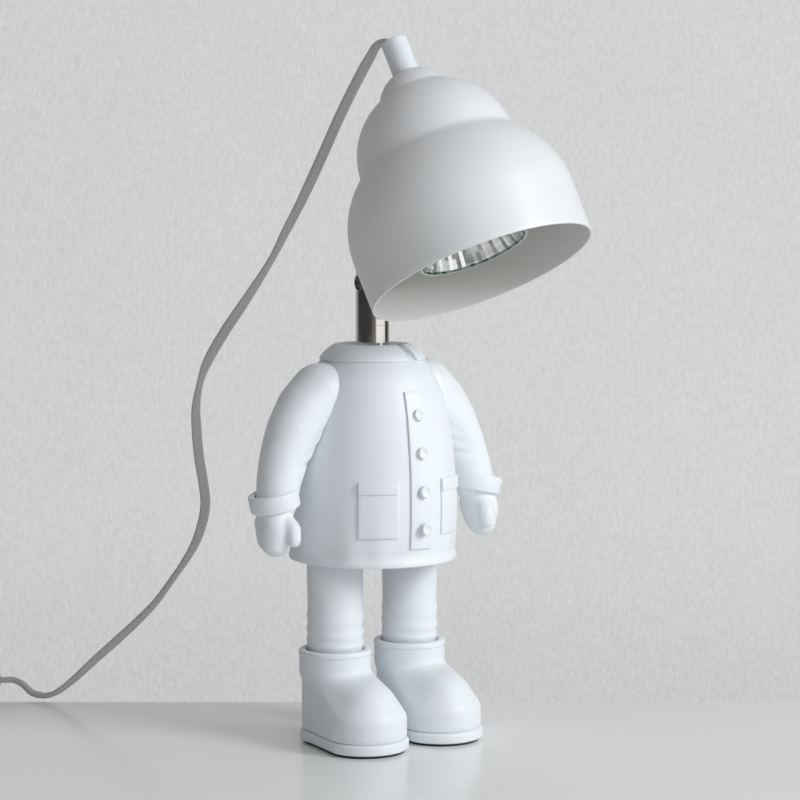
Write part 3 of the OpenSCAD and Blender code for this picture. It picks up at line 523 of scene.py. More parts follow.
# %% Painted, cast and moulded finishes
def coated(name, dark, light, rough, grain, depth, cloud=0.025):
    """A smooth coat: cloudy colour, changing gloss and a fine grain."""
    finish = Finish(name)
    clouds, smudges = finish.noise(cloud, 3), finish.noise(cloud * 0.35, 4)
    finish.give(Base_Color=finish.blend((*dark, 1), (*light, 1), clouds),
                Roughness=between(rough, smudges), Normal=finish.bump(finish.noise(grain), depth))
    return finish.material


LOOKS = {
    "resin": coated("white_cast_resin", (0.79, 0.83, 0.865), (0.825, 0.865, 0.90), (0.36, 0.52),
        0.0011, 3e-5),
    # The inside's warmer tone is painted shade: the tint of the light that falls inside the hollow.
    "lining_painted_shade_tint": coated("warm_lining_painted_shade_tint", (0.775, 0.765, 0.735), (0.805, 0.795, 0.765), (0.32, 0.46),
        0.0014, 2e-5),
    "shade_paint": coated("satin_shade_paint", (0.735, 0.75, 0.765), (0.765, 0.78, 0.795), (0.30, 0.44),
        0.0014, 2e-5),
    "white_plastic": coated("white_moulded_plastic", (0.72, 0.755, 0.80), (0.77, 0.805, 0.85),
        (0.28, 0.42), 0.0007, 2e-5),
    "cord": coated("pale_cord_vinyl", (0.485, 0.485, 0.485), (0.525, 0.525, 0.525), (0.36, 0.46),
        0.0016, 3e-6, cloud=0.03),
    "wheel_grey": coated("grey_wheel_plastic", (0.16, 0.165, 0.17), (0.21, 0.215, 0.22), (0.42, 0.58),
        0.0006, 5e-5),
    "pad": coated("dark_sole_rubber", (0.018, 0.018, 0.018), (0.035, 0.034, 0.033), (0.7, 0.9), 0.0009, 1e-4),
    "tie": coated("dark_tie_band", (0.03, 0.03, 0.032), (0.055, 0.055, 0.058), (0.55, 0.75), 0.0005, 8e-5),
    "ceramic": coated("holder_steatite", (0.68, 0.65, 0.58), (0.78, 0.76, 0.70), (0.5, 0.7), 0.0008, 5e-5),
    "fibre": coated("washer_fibre", (0.10, 0.05, 0.025), (0.2, 0.11, 0.06), (0.7, 0.9), 0.0005, 8e-5,
        cloud=0.004),
    "lead_sleeve": coated("lead_glass_sleeve", (0.66, 0.66, 0.63), (0.80, 0.80, 0.77), (0.55, 0.75),
        0.0004, 1e-4, cloud=0.003),
    "board": coated("board_lacquer", (0.01, 0.09, 0.04), (0.02, 0.16, 0.07), (0.25, 0.45), 0.0012, 5e-5,
        cloud=0.006),
}
print("coats:", len(LOOKS))

# %% [markdown]
# ## Metals
# The neck is polished nickel, the fixings are zinc-plated steel and brass. Turned metal has fine lines round
# its axis. Anisotropy could stretch its highlights, but close up the lines themselves show, so the noise is
# squeezed along the height and drives roughness and tone together.


# %% Metals
def turned_metal(name, dark, light, rough):
    """Bare metal with fine turning lines."""
    finish = Finish(name, Metallic=1.0)
    lines, stains = finish.noise(0.0012, 3, stretch=(0.06, 0.06, 1)), finish.noise(0.009, 3)
    finish.give(Base_Color=finish.blend((*dark, 1), (*light, 1), 0.5 * lines + 0.5 * stains),
                Roughness=between(rough, lines) + 0.06 * stains, Normal=finish.bump(lines, 6e-6))
    return finish.material


LOOKS["nickel"] = turned_metal("polished_nickel", (0.52, 0.50, 0.47), (0.62, 0.60, 0.57), (0.05, 0.10))
LOOKS["steel"] = turned_metal("zinc_plated_steel", (0.42, 0.42, 0.42), (0.62, 0.62, 0.60), (0.26, 0.44))
LOOKS["brass"] = turned_metal("plain_brass", (0.52, 0.36, 0.13), (0.74, 0.55, 0.24), (0.22, 0.40))
print("metals: nickel, steel, brass")

# %% [markdown]
# ## Glass
# The bulb is pressed glass, clear in front and silvered in its bowl. Its lip looks green, because there one
# looks through far more glass. Absorption could give that, but it needs very exact walls, so both finishes
# change with the distance from the bulb's axis, which a Mapping node finds by undoing the head's tilt. The
# mirror's colour holds painted reflections: each facet's dark or bright tone is stored in the mesh.


# %% Glass
def bulb_finish(name, edge, rough, **same):
    """A finish of the bulb, and a mask for what is further from its axis than the edge."""
    finish = Finish(name, **same)
    back = HEAD.inverted()
    local = finish.node("Mapping", {}, {"Vector": finish.place(), "Location": back.translation,
                                        "Rotation": back.to_euler()})
    x, y = finish.part(local, 0), finish.part(local, 1)
    outer = finish.ramp((x * x + y * y) ** 0.5, (edge - 0.5) * MM, (edge + 0.5) * MM)
    finish.give(Roughness=between(rough, finish.noise(0.006, 3)))
    return finish, outer


clear, lip = bulb_finish("bulb_glass", 28.4, (0.0, 0.012), Transmission_Weight=1.0, IOR=1.33)
clear.give(Base_Color=clear.blend((0.985, 0.995, 0.99, 1), (0.62, 0.78, 0.70, 1), lip))
silvering, lip = bulb_finish("silvered_reflector", 29.6, (0.01, 0.04))
# Painted reflections: each facet's colour is dark or bright, as if it mirrored a dark or bright room.
facet = silvering.node("Attribute", {"attribute_name": "painted_reflection_tone"}, out="Fac")
facets = silvering.blend((0.05, 0.05, 0.047, 1), (0.97, 0.975, 0.97, 1), facet)
silvering.give(Base_Color=silvering.blend(facets, (0.36, 0.47, 0.42, 1), lip), Metallic=1 - 0.85 * lip)
LOOKS["bulb_glass"], LOOKS["reflector"] = clear.material, silvering.material
print("the bulb turns green at its lip")

# %% [markdown]
# ## The shade
# The shade is spun from thin sheet in three tiers with soft valleys between them. It could be one curve with
# a Solidify modifier, but its rim needs its own rounding, so the whole wall is spun from a closed outline: up
# the outside, through the hole for the stem, and down the inside, whose warmer lining is a painted shade tint.

# %% The shade
SHADE_WALL, SHADE_TOP = 1.2, 121.97
VALLEYS = {71.5: 14, 109.5: 5}  # the height of each valley, and how many times it is smoothed


def softened_line(points, corners, step=0.8, reach=6.0):
    """Resample a line evenly, and round it near the given heights, each by its own number of rounds."""
    dense = []
    for (x0, z0), (x1, z1) in zip(points, points[1:]):
        count = max(int(hypot(x1 - x0, z1 - z0) / step), 1)
        dense += [(x0 + (x1 - x0) * k / count, z0 + (z1 - z0) * k / count) for k in range(count)]
    dense.append(points[-1])
    near = [min(abs(z - c) for c in corners) < reach for _, z in dense]
    for corner, rounds in corners.items():
        here = [abs(z - corner) < reach for _, z in dense]
        for _ in range(rounds):
            dense = [p if not here[i] or i in (0, len(dense) - 1) else
                     tuple((dense[i - 1][j] + 2 * p[j] + dense[i + 1][j]) / 4 for j in (0, 1))
                     for i, p in enumerate(dense)]
    return [p for i, p in enumerate(dense) if near[i] or i % 3 == 0 or i == len(dense) - 1]


def inset_line(points, wall):
    """The same line, moved to its inner side by the wall."""
    out = []
    for i, (x, z) in enumerate(points):
        (x0, z0), (x1, z1) = points[max(i - 1, 0)], points[min(i + 1, len(points) - 1)]
        long = hypot(x1 - x0, z1 - z0)
        out.append((x - wall * (z1 - z0) / long, z + wall * (x1 - x0) / long))
    return out


tiers = [(63.6, 0.7), (64, 30)] + arc(10, 30, 54, 0, 50.22, 26) + arc(2.55, 71.5, 42, 0, 64.79, 26)
tiers += arc(0, 101.36, 22, 21.7, 69.5, 12)
outside = softened_line(tiers, VALLEYS) + [(6.4, SHADE_TOP), (5.3, 121.9)]
inside = inset_line(outside[:-2], SHADE_WALL)
inside[-1] = (6.4, 120.77)
wall = outside + [(5.3, 120.8)] + inside[::-1]
wall += [(62.45, 0.25), (62.75, 0.05), (63.1, 0.0), (63.4, 0.15), outside[0]]
shade = lathed("shade_shell", wall, steps=128, soft=40)
settle(shade, HEAD)
dress(shade, "shade_paint", "head", "shade")
# The inner faces take the warmer colour, a painted tint of the shaded inside.
shade.data.materials.append(LOOKS["lining_painted_shade_tint"])
axis_up = HEAD.to_3x3() @ UP
for face in shade.data.polygons:
    from_rim = face.center - HEAD.translation
    outward = from_rim - from_rim.dot(axis_up) * axis_up
    face.material_index = int(face.normal.dot(outward + 0.2 * outward.length * axis_up) < 0)
count_faces(shade)

# %% [markdown]
# ## The cord grip
# A plain white cylinder is screwed on the stem, with a rounded lip that the cord turns over, and a small
# clamp screw at its back. It is spun like the shade. The screw's hole could be modelled face by face, but a
# Boolean modifier cuts it cleanly through the curved wall.

# %% The cord grip
grip_line = [(5.05, 0), (7.25, 0), (7.5, 0.25), (7.5, 19.5), (7.42, 20.0), (7.15, 20.4), (6.8, 20.5),
             (6.4, 20.4), (6.12, 20.05), (6.0, 19.4), (6.0, 12.5), (3.9, 12.5), (3.9, 10), (5.05, 10),
             (5.05, 0)]
grip = lathed("cord_grip_body", grip_line, steps=72)
hole = made("cylinder", vertices=32, radius=1.58 * MM, depth=8 * MM,
            location=mm(0, 7, 14.6), rotation=(radians(90), 0, 0))
settle(hole, turn(-50, "Z") @ hole.matrix_world)
cut(grip, hole)
smooth(grip, 40)
settle(grip, HEAD @ shift(0, 0, SHADE_TOP))
dress(grip, "white_plastic", "head", "cord_grip")
count_faces(grip)

# %% [markdown]
# ## The reflector bulb
# The bowl is pressed with flat facets. They could be a bump in the finish, but a mirror shows each one, so
# the bowl is spun in steps and left flat inside. Each facet leans its own way, and each also gets a painted
# reflection, a dark or bright tone in its colour. Behind the clear front sits the capsule with its filament,
# an Array of rings.

# %% The reflector bulb
BULB_STEPS, BULB_IN, FILAMENT_IN = 72, 13, 22
bowl = [(30.7, 3), (30.4, 8), (29.3, 13.5), (27.0, 19.5), (22.6, 26), (16.4, 31.6), (9.4, 36)]
bowl_in = [(28.2, 3.6), (26.6, 8), (24.5, 13.5), (21.8, 19.5), (18.2, 26), (13.4, 31.6), (8.0, 36)]
reflector = lathed("bulb_bowl", [(29.6, 0.1), (31.2, 0.0), (31.5, 0.3), (31.5, 2.8), (31.3, 3)] + bowl
                   + bowl_in[::-1] + [(28.6, 2.9), (29.6, 2.65), (29.6, 0.1)], steps=BULB_STEPS)


def steps_round(x, y):
    return atan2(y, x) / (2 * pi) * BULB_STEPS


for vertex in reflector.data.vertices:
    x, y, z = vertex.co / MM
    if 7 < z < 35:
        step = round(steps_round(x, y))
        flute = 0.26 * sin(2.7 * step) + 0.08 * sin(2.9 * round(z) + 4.1 * step)
        vertex.co += Vector((x, y, 0)).normalized() * flute * MM
# Each facet gets a painted reflection tone, dark or bright, which becomes the mirror's colour.
painted_reflection_tones = reflector.data.attributes.new("painted_reflection_tone", "FLOAT", "FACE")
for face, tone in zip(reflector.data.polygons, painted_reflection_tones.data):
    x, y, z = face.center / MM
    step = floor(steps_round(x, y))
    painted_reflection_wave = sin(2.05 * step) + 0.6 * sin(3.7 * step + 1.7 * round(z / 6))
    tone.value = min(max(0.85 + 0.9 * painted_reflection_wave, 0), 1)
smooth(reflector, 3)
front = lathed("bulb_front", [(0, 0.5), (24, 0.5), (28.9, 0.5), (29.4, 0.7), (29.5, 1.2), (29.5, 2.2),
                              (29.3, 2.6), (24, 2.65), (0, 2.65)], steps=72, soft=40)
CAPSULE = [(0, 15.6), (0.6, 15.8), (1.0, 16.5), (2.6, 17.3), (3.9, 18.7), (4.45, 20.6), (4.5, 22), (4.5, 33),
           (4.0, 34), (0, 34)]
capsule = lathed("bulb_capsule_glass", CAPSULE, steps=40, soft=50)
filament = lathed("bulb_filament", [(0.55, 0), (0.7, 0.15), (0.55, 0.3), (0.4, 0.15), (0.55, 0)], steps=16)
modify(filament, "ARRAY", count=12, use_relative_offset=False, use_constant_offset=True,
       constant_offset_displace=mm(0, 0, 0.42))
smooth(filament, 60)
settle(filament, HEAD @ shift(0, 0, BULB_IN + FILAMENT_IN))
for piece in (reflector, front, capsule):
    settle(piece, HEAD @ shift(0, 0, BULB_IN))
dress(reflector, "reflector", "head", "bulb_reflector")
dress(front, "bulb_glass", "head", "bulb_front_glass")
dress(capsule, "bulb_glass", "head", "bulb_capsule")
dress(filament, "steel", "head")
print("facets in the bowl:", BULB_STEPS * (len(bowl) - 1))

# %% [markdown]
# ## Softened solids
# Nuts, washers, screws, the neck and the holder only lack the small round that every real edge has. They
# could be modelled anew, but their solids already fit, so a copy of each is merged, its flat triangles are
# dissolved, and a Bevel modifier rounds the edges.


# %% Softened solids
def softened(node, width, body, slot):
    """A copy of a plain solid with its sharp edges rounded."""
    piece = bpy.data.objects.new(node + "_soft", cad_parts[node].data.copy())
    scene.collection.objects.link(piece)
    pick(piece)
    ops.customdata_custom_splitnormals_clear()
    with editing(piece):
        ops.remove_doubles(threshold=2e-6)
        ops.dissolve_limited(angle_limit=radians(1))
    bevel(piece, width, 2, 38)
    smooth(piece, 34)
    modify(piece, "WEIGHTED_NORMAL", keep_sharp=True)
    dress(piece, slot, body, node)
    return piece


SOFT = """nickel figure neck_post:0.25
nickel swivel swivel_fork:0.3 tilt_bolt:0.2 tilt_nut:0.2
nickel head tilt_tongue:0.4
steel figure hip_plate:0.4 hip_screws:0.3 leg_bolts:0.4
steel head tongue_washer:0.2 tongue_screw:0.3 grip_screw:0.2 stem_washer:0.2 holder_bracket:0.3
steel head bracket_screws:0.2 bulb_pins:0.2
steel figure plug_pins:0.5 dimmer_screws:0.2
brass head stem_tube:0.2 stem_nuts:0.3 holder_contacts:0.2
ceramic head lamp_holder:0.5 bulb_base:0.4
tie figure cord_ties:0.35
wheel_grey thumbwheel dimmer_wheel:0.25"""  # slot, body, and each node with the width of its round
for row in SOFT.splitlines():
    slot, body, *names = row.split()
    for name in names:
        node, width = name.split(":")
        softened(node, float(width), body, slot)
print("softened solids ride on their bodies")

# %% [markdown]
# ## Plain solids
# What is hidden in the coat, the shade or the dimmer, or lies under the boots, could be softened too, but its
# edges are hardly seen, so it only gets its finish.

# %% Plain solids
PLAIN = """steel leg_washers leg_nuts neck_washer neck_nut swivel_washer swivel_screw swivel_stop_pin arm_dowels
fibre friction_washers
lead_sleeve lamp_leads
board dimmer_board
pad right_sole_pad left_sole_pad"""  # look and nodes
for row in PLAIN.splitlines():
    look, *names = row.split()
    for node in names:
        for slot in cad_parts[node].material_slots:
            slot.material = LOOKS[look]
print("plain solids have their finish")

# %% [markdown]
# ## The coat
# The coat is one hollow casting. It could be sculpted, but turned work is easier to keep even, so its wall is
# spun as a closed outline, like the shade's, and its outside is pressed into soft folds that fan out towards
# the hem, by moving vertices along their radius.

# %% The coat
COAT_LOW, COAT_TOP, COAT_STEPS = 103, 222.5, 160
SIDE_ENDS = ((50, 113), (48, 162.75), (44, COAT_TOP), (14, COAT_TOP))
HEM = [(45.2, 103.0), (46.4, 103.0), (47.6, 103.4), (48.7, 104.5), (49.4, 106.4), (49.8, 108.6), (50.0, 111.0)]
COAT_INSIDE = [(8.2, COAT_TOP), (8.2, 213.5), (30, 213.5), (36, 200), (40, 170), (42, 130), (42, 111.5),
               (44.2, 111.5), (44.2, 103.4), (45.2, 103.0)]
FOLDS = ((-142, 1.3, 9), (-121, 0.8, 7), (-58, 0.9, 8), (-36, 1.3, 9), (2, 1.0, 11), (34, 1.4, 10),
         (63, 1.0, 8), (92, 1.3, 9), (118, 0.9, 8), (149, 1.4, 10),
         (178, 1.0, 11))  # angle, height and spread of each


def coat_curve(t, grow=0.0):
    """A point of the coat's side, from the hem's round up to the flat top."""
    f = ((1 - t) ** 3, 3 * (1 - t) ** 2 * t, 3 * (1 - t) * t * t, t ** 3)
    r, z = (sum(a * p[k] for a, p in zip(f, SIDE_ENDS)) for k in (0, 1))
    return r + grow, z + grow * t


def coat_side(grow=0.0):
    return [(r + grow, z) for r, z in HEM] + [coat_curve(k / 44, grow) for k in range(45)]


coat = lathed("coat_casting", coat_side() + COAT_INSIDE, steps=COAT_STEPS)
for vertex in coat.data.vertices:
    x, y, z = vertex.co / MM
    radius = hypot(x, y)
    if radius > 43.5 and 103.2 < z < 185:
        angle = degrees(atan2(y, x))
        push = 0
        for at, height, spread in FOLDS:
            away = (angle - at - 0.06 * (z - 113) + 180) % 360 - 180
            push += height * (exp(-(away / spread) ** 2) - 0.35)
        push *= exp(-max(z - 110, 0) / 26) * min((z - COAT_LOW) / 5, 1)
        vertex.co += Vector((x, y, 0)) / radius * push * MM
smooth(coat, 40)
settle(coat, STAND)
dress(coat, "resin", "figure", "coat")
count_faces(coat)

# %% [markdown]
# ## Placket, pockets and buttons
# The front strip and the pockets stand a little out from the coat. They could be boxes bent to fit, but
# patches made from the coat itself lie on it exactly: a copy loses the faces that lie elsewhere, and the rest
# gets a thickness with Solidify. One button is turned, copied and set down the placket.

# %% Placket, pockets and buttons
POCKET_TOP = 150
BUTTON = [(0, 1.5), (1.6, 1.45), (2.2, 1.9), (2.9, 2.0), (3.3, 1.6), (3.4, 0.9), (3.3, -0.6), (0, -0.6)]


def patch(name, inside, thick):
    """A raised patch from the coat's outer faces whose middles pass a test."""
    piece = twin(coat, name)
    with editing(piece):
        ops.select_mode(type="FACE")
    for face in piece.data.polygons:
        middle = (face.center - Vector((0, NECK_Y, 0))) / MM
        facing = face.normal.dot(Vector((middle.x, middle.y, 0)).normalized())
        outer = facing > 0.1 and hypot(*middle[:2]) > 36
        face.select = not (outer and inside(*middle))
    with editing(piece, whole=False):
        ops.delete(type="FACE")
        ops.select_mode(type="VERT")
    modify(piece, "SOLIDIFY", thickness=thick * MM, offset=0.7)
    bevel(piece, 0.4, 3, 50)
    smooth(piece, 50)
    return piece


def from_front(x, y):
    """Degrees round the coat from the middle of its front, to the figure's left."""
    return degrees(atan2(x, -y))


patches = [patch("coat_placket", lambda x, y, z: abs(from_front(x, y)) < 9 and 113 < z < 199, 1.5)]
for side, s in BOTH:
    for kind, low, thick in (("pocket", 121, 1.3), ("pocket_hem", 143.5, 2.2)):
        patches.append(patch(f"coat_{kind}_{side}", lambda x, y, z: 18 < s * from_front(x, y) < 45
                             and low < z < POCKET_TOP, thick))
BUTTONS_UP = (124, 145, 166, 187)
buttons = [lathed("coat_button", BUTTON, steps=32, soft=40)]
buttons += [twin(buttons[0], "coat_button") for _ in BUTTONS_UP[1:]]
for button, height in zip(buttons, BUTTONS_UP):
    t = next(k / 400 for k in range(400) if coat_curve(k / 400)[1] >= height)
    (r0, z0), (r1, z1) = coat_curve(t), coat_curve(t + 0.01)
    lean = atan2(r0 - r1, z1 - z0)
    settle(button, STAND @ shift(0, -r0 - 1.0, z0) @ Matrix.Rotation(pi / 2 - lean, 4, "X"))
trim = joined("coat_trim", patches + buttons)
dress(trim, "resin", "figure")
count_faces(trim)

# %% [markdown]
# ## The collar
# A folded collar lies round the neck and is open in front. It could be a bent strip, but its section, a low
# stand with a fall over it, is the same all round, so it is spun through less than a full turn, and the ends
# are closed and rounded.

# %% The collar
COLLAR = [(17.6, 220.6), (17.4, 222.4), (17.9, 224.0), (19.4, 224.9), (21.4, 224.7), (24.4, 223.0),
          (27.4, 220.4), (30.0, 217.2), (30.1, 216.2), (29.2, 215.8), (27.0, 217.4), (23.0, 220.0),
          (17.6, 220.6)]
collar = lathed("coat_collar", COLLAR, steps=120, sweep=346)
settle(collar, STAND @ turn(-83, "Z"))
bevel(collar, 0.5, 3, 55)
smooth(collar, 45)
dress(collar, "resin", "figure")
count_faces(collar)

# %% [markdown]
# ## Arms
# Each arm is a casting of its own, a sleeve with a cuff and a mitten. A Skin modifier could draw it, but
# balls and cones give a surer swell: a chain of them is melted into one skin by a voxel remesh, and a few
# creases are pressed into the sleeve.

# %% Arms
SHOULDER = (-36.05, 0, 198.26)
SLEEVE = [(0, 0, 0, 17), (-10, 0, -9, 16.5), (-18, -1, -20, 15.5), (-25, -2, -33, 14), (-30, -4, -46, 12.5),
          (-33, -6, -58, 11.5)]  # from the shoulder: x, y, z and radius
PALM = [(-34, -6.5, -62, 10), (-36, -10, -72, 9), (-36, -9, -80, 8)]
EDGE = [(-35, -3, -70, 9), (-36, -5, -78, 8)]
THUMB = [(-33, -12, -66, 5), (-31, -19, -72, 4.5), (-31, -20, -78, 4)]
CREASES = (((-9, -14, -22), (0.7, 0.2, 0.6), 0.9), ((-12, -14, -30), (0.8, 0.2, 0.35), 1.1),
           ((-16, -13, -38), (0.8, 0.3, 0.1), 0.9), ((-40, 6, -26), (0.4, 0.3, -0.8), 0.7))  # place, way, depth
CUFF = [(10.5, 0.4), (12.6, 0), (13.7, 0.5), (14.0, 1.6), (14.05, 8.2), (13.7, 9.5), (12.9, 10.0), (11.6, 9.7),
        (10.5, 9.0), (10.5, 0.4)]


def ball(x, y, z, r, segments=32):
    return made("uv_sphere", segments=segments, ring_count=segments // 2, radius=r * MM, location=mm(x, y, z))


def bead_chain(beads):
    """Balls at each bead, with a cone between neighbours."""
    parts = [ball(*bead) for bead in beads]
    for a, b in zip(beads, beads[1:]):
        start, way = mm(*a[:3]), mm(*b[:3]) - mm(*a[:3])
        parts.append(made("cone", vertices=32, radius1=a[3] * MM, radius2=b[3] * MM, depth=way.length,
                          location=start + way / 2, rotation=way.to_track_quat("Z", "Y").to_euler()))
    return parts


def melted(name, parts, voxel, rounds):
    """Join overlapping parts and melt them into one smooth skin."""
    piece = joined(name, parts)
    settle(piece)
    modify(piece, "REMESH", mode="VOXEL", voxel_size=voxel * MM, use_smooth_shade=True)
    modify(piece, "SMOOTH", factor=0.5, iterations=rounds)
    return piece


balls = []
for beads in (SLEEVE, PALM, EDGE, THUMB):
    balls += bead_chain([(SHOULDER[0] + x, SHOULDER[1] + y, SHOULDER[2] + z, r) for x, y, z, r in beads])
arm = melted("arm_right", balls, 1.0, 6)
for vertex in arm.data.vertices:
    for at, way, depth in CREASES:
        way = Vector(way).normalized()
        gap = vertex.co / MM - Vector([a + b for a, b in zip(SHOULDER, at)])
        rise = (gap - gap.dot(way) * way).z
        if gap.length < 16:
            vertex.co -= vertex.normal * depth * exp(-(rise / 1.9) ** 2 - (gap.length / 9) ** 2) * MM
cuff = lathed("arm_cuff", CUFF, steps=72, soft=40)
settle(cuff, shift(SHOULDER[0] - 33.5, -6, SHOULDER[2] - 62) @ turn(-12, "Y"))
count_faces(arm, cuff)

# %% [markdown]
# ## Arms set against the coat
# Where two castings meet, a fine seam shows. It could be a dark line in the finish, but a real gap shades
# itself, so the coat's shape, grown by a hair, is cut away at the shoulder. The left arm is a copy of the
# right one, mirrored.

# %% Arms set against the coat
SEAM = 0.25
cutter_line = [(0, COAT_LOW)] + coat_side(SEAM)[1:] + [(0, COAT_TOP + SEAM)]
cut(arm, lathed("coat_cutter", cutter_line, steps=COAT_STEPS))
arm = joined("arm_right", [arm, cuff])
smooth(arm, 40)
other = twin(arm, "arm_left")
settle(other, Matrix.Scale(-1, 4, (1, 0, 0)))
with editing(other):
    ops.normals_make_consistent()
for piece, node in ((arm, "right_arm"), (other, "left_arm")):
    settle(piece, STAND)
    smooth(piece, 40)
    dress(piece, "resin", "figure", node)
count_faces(arm, other)

# %% [markdown]
# ## Legs
# Each straight trouser leg runs into its boot, with a few soft sags above it. They could be sculpted, but
# waves in the outline are enough, so the leg is spun with them, and they are tipped up behind. Both legs are
# alike, so one is modelled and copied.

# %% Legs
LEG_X, LEG_LOW, LEG_BORE = 26, 49.5, 3.4
SAGS = ((57, 0.9, 2.6), (63.5, 0.8, 2.8), (71, 0.5, 3.2))  # place, height and width of each
leg_line = [(LEG_BORE, LEG_LOW), (15.5, LEG_LOW)]
for k in range(60):
    z = 50 + 58 * k / 59
    sag = sum(h * exp(-((z - at) / wide) ** 2) for at, h, wide in SAGS)
    leg_line.append((15.4 + (z - LEG_LOW) / 59 + sag - 0.3, z))
leg_line += [(16.5, 108.4), (LEG_BORE, 108.5), (LEG_BORE, LEG_LOW)]
leg = lathed("leg_right", leg_line)
for vertex in leg.data.vertices:
    x, y, z = vertex.co / MM
    if hypot(x, y) > 10 and 52 < z < 80:
        tip = 2.2 * y / 16
        vertex.co.z += tip * exp(-((z - 63) / 9) ** 2) * MM
smooth(leg, 40)
for piece, (side, s) in zip((leg, twin(leg, "leg_left")), BOTH):
    settle(piece, STAND @ shift(s * LEG_X, 0, 0))
    dress(piece, "resin", "figure", side + "_leg")
print("legs at", LEG_X, "mm from the middle")

# %% [markdown]
# ## Boots
# A boot's upper is a toe, a heel and a shaft. It could be modelled from a box, but one convex skin round all
# three, melted smooth, has no corners to tidy. The welt is the sole's outline, extruded and rounded, and a
# rolled edge closes the top. The left boot is a copy.

# %% Boots
HEEL_R, TOE_R, TOE_OUT = 20, 24, 30
WELT_LOW, WELT_HIGH = 1.5, 7.3
WELL = [(0, LEG_LOW), (16.7, LEG_LOW), (16.7, 60), (0, 60)]
TOP_ROLL = [(16.8, 51.2), (17.4, 50.0), (20.0, 49.4), (20.6, 50.0), (20.7, 51.6), (20.2, 53.0), (19.0, 53.5),
            (17.6, 53.2), (16.8, 51.2)]


def boot_welt():
    """A slab with the sole's outline, to which a circle's vertices are moved."""
    lean = degrees(asin((TOE_R - HEEL_R) / TOE_OUT))
    points = arc(0, -TOE_OUT, TOE_R, 180 + lean, 360 - lean, 40) + arc(0, 0, HEEL_R, -lean, 180 + lean, 40)
    piece = made("circle", "boot_welt", vertices=len(points), radius=0.02, fill_type="NGON")
    for vertex, (x, y) in zip(piece.data.vertices, points):
        vertex.co = mm(x, y, WELT_LOW)
    with editing(piece):
        ops.extrude_region_move(TRANSFORM_OT_translate={"value": mm(0, 0, WELT_HIGH - WELT_LOW)})
        ops.select_all(action="SELECT")
        ops.normals_make_consistent()
    bevel(piece, 1.4, 4, 40)
    smooth(piece, 40)
    return piece


def drum(radius, depth, y, z, vertices=64):
    return made("cylinder", vertices=vertices, radius=radius * MM, depth=depth * MM, location=mm(0, y, z))


def boot_upper():
    skin = joined("boot_skin", [drum(HEEL_R - 1, 12.6, 0, 13.8), drum(TOE_R - 1, 12.6, -TOE_OUT, 13.8),
                                ball(0, -TOE_OUT, 20.5, 19, 64), drum(19, 1, 0, 40)])
    with editing(skin):
        ops.convex_hull()
    return melted("boot_upper", [skin, drum(20.4, 15, 0, 45.4, vertices=96)], 1.0, 26)


upper = boot_upper()
cut(upper, lathed("boot_well", WELL, steps=72))
boot = joined("boot_right", [upper, boot_welt(), lathed("boot_top_roll", TOP_ROLL, soft=60)])
smooth(boot, 45)
for piece, (side, s) in zip((boot, twin(boot, "boot_left")), BOTH):
    settle(piece, STAND @ shift(s * LEG_X, 0, 0))
    dress(piece, "resin", "figure", side + "_boot")
count_faces(boot)

# %% [markdown]
# ## The dimmer
# The in-line dimmer has two shells that meet at half height, with tapered sleeves that take the cord. Each
# could be built from faces, but halves of one block are sure to meet: the block is rounded, halved with
# bisect at the seam, hollowed with Solidify, and cut where the thumbwheel looks out.

# %% The dimmer
DIMMER_LONG, DIMMER_WIDE, DIMMER_HIGH, SLEEVE_LONG = 52, 26, 15.9, 10


def rings(ring, count, grow, pitch):
    """The outline of a row of rings, each wider than the last."""
    return [(r + grow * k, z + pitch * k) for k in range(count) for r, z in ring]


sleeve_line = [(0, -SLEEVE_LONG), (3.6, -SLEEVE_LONG), (3.85, -9.6)]
sleeve_line += rings([(4.0, -9), (4.1, -7.6), (3.85, -7.3), (3.85, -6.9)], 4, 0.42, 2.4)
sleeve_line += [(5.4, 0.6), (0, 0.6)]


def on_floor(left, back, up=0):
    """A place on the table with +X along the cord's run away from the lamp."""
    return Matrix.Translation(route(left, back, up)) @ Matrix.Rotation(pi - ROUTE_TURN, 4, "Z")


def halve(piece, upper, fill):
    """Keep what lies above the dimmer's seam, or below it."""
    with editing(piece):
        ops.bisect(plane_co=mm(0, 0, DIMMER_UP), plane_no=(0, 0, 1), clear_inner=upper,
                   clear_outer=not upper, use_fill=fill)


def dimmer_half(name, upper):
    block = made("cube", size=1, location=mm(DIMMER_LONG / 2, 0, DIMMER_UP))
    block.scale = mm(DIMMER_LONG, DIMMER_WIDE, DIMMER_HIGH)
    settle(block)
    bevel(block, 2.6, 5, 30)
    halve(block, upper, fill=False)
    modify(block, "SOLIDIFY", thickness=2 * MM, offset=-1)
    parts = [block]
    for end, way in ((0, 0), (DIMMER_LONG, 180)):
        sleeve = lathed("dimmer_sleeve", sleeve_line, steps=48)
        settle(sleeve, shift(end, 0, DIMMER_UP) @ turn(way, "Z") @ turn(90, "Y"))
        halve(sleeve, upper, fill=True)
        smooth(sleeve, 40)
        parts.append(sleeve)
    cut(block, made("cylinder", vertices=72, radius=11.6 * MM, depth=5.4 * MM,
                    location=mm(DIMMER_LONG / 2, -4.5, DIMMER_UP)))
    smooth(block, 30)
    half = joined(name, parts)
    settle(half, on_floor(DIMMER_START + SLEEVE_LONG, DIMMER_BACK))
    return half


dimmer_lower, dimmer_upper = dimmer_half("dimmer_lower_shell", False), dimmer_half("dimmer_upper_shell", True)
dress(dimmer_lower, "white_plastic", "figure", "dimmer_base")
dress(dimmer_upper, "white_plastic", "figure", "dimmer_cover")
count_faces(dimmer_lower, dimmer_upper)

# %% [markdown]
# ## The plug
# A flat two-pin plug lies behind the coil, pinched where it is held, with a ringed strain relief that can
# bend. The body could be bridged from outlines, but moving the vertices of a subdivided block is simpler. The
# relief is turned work.

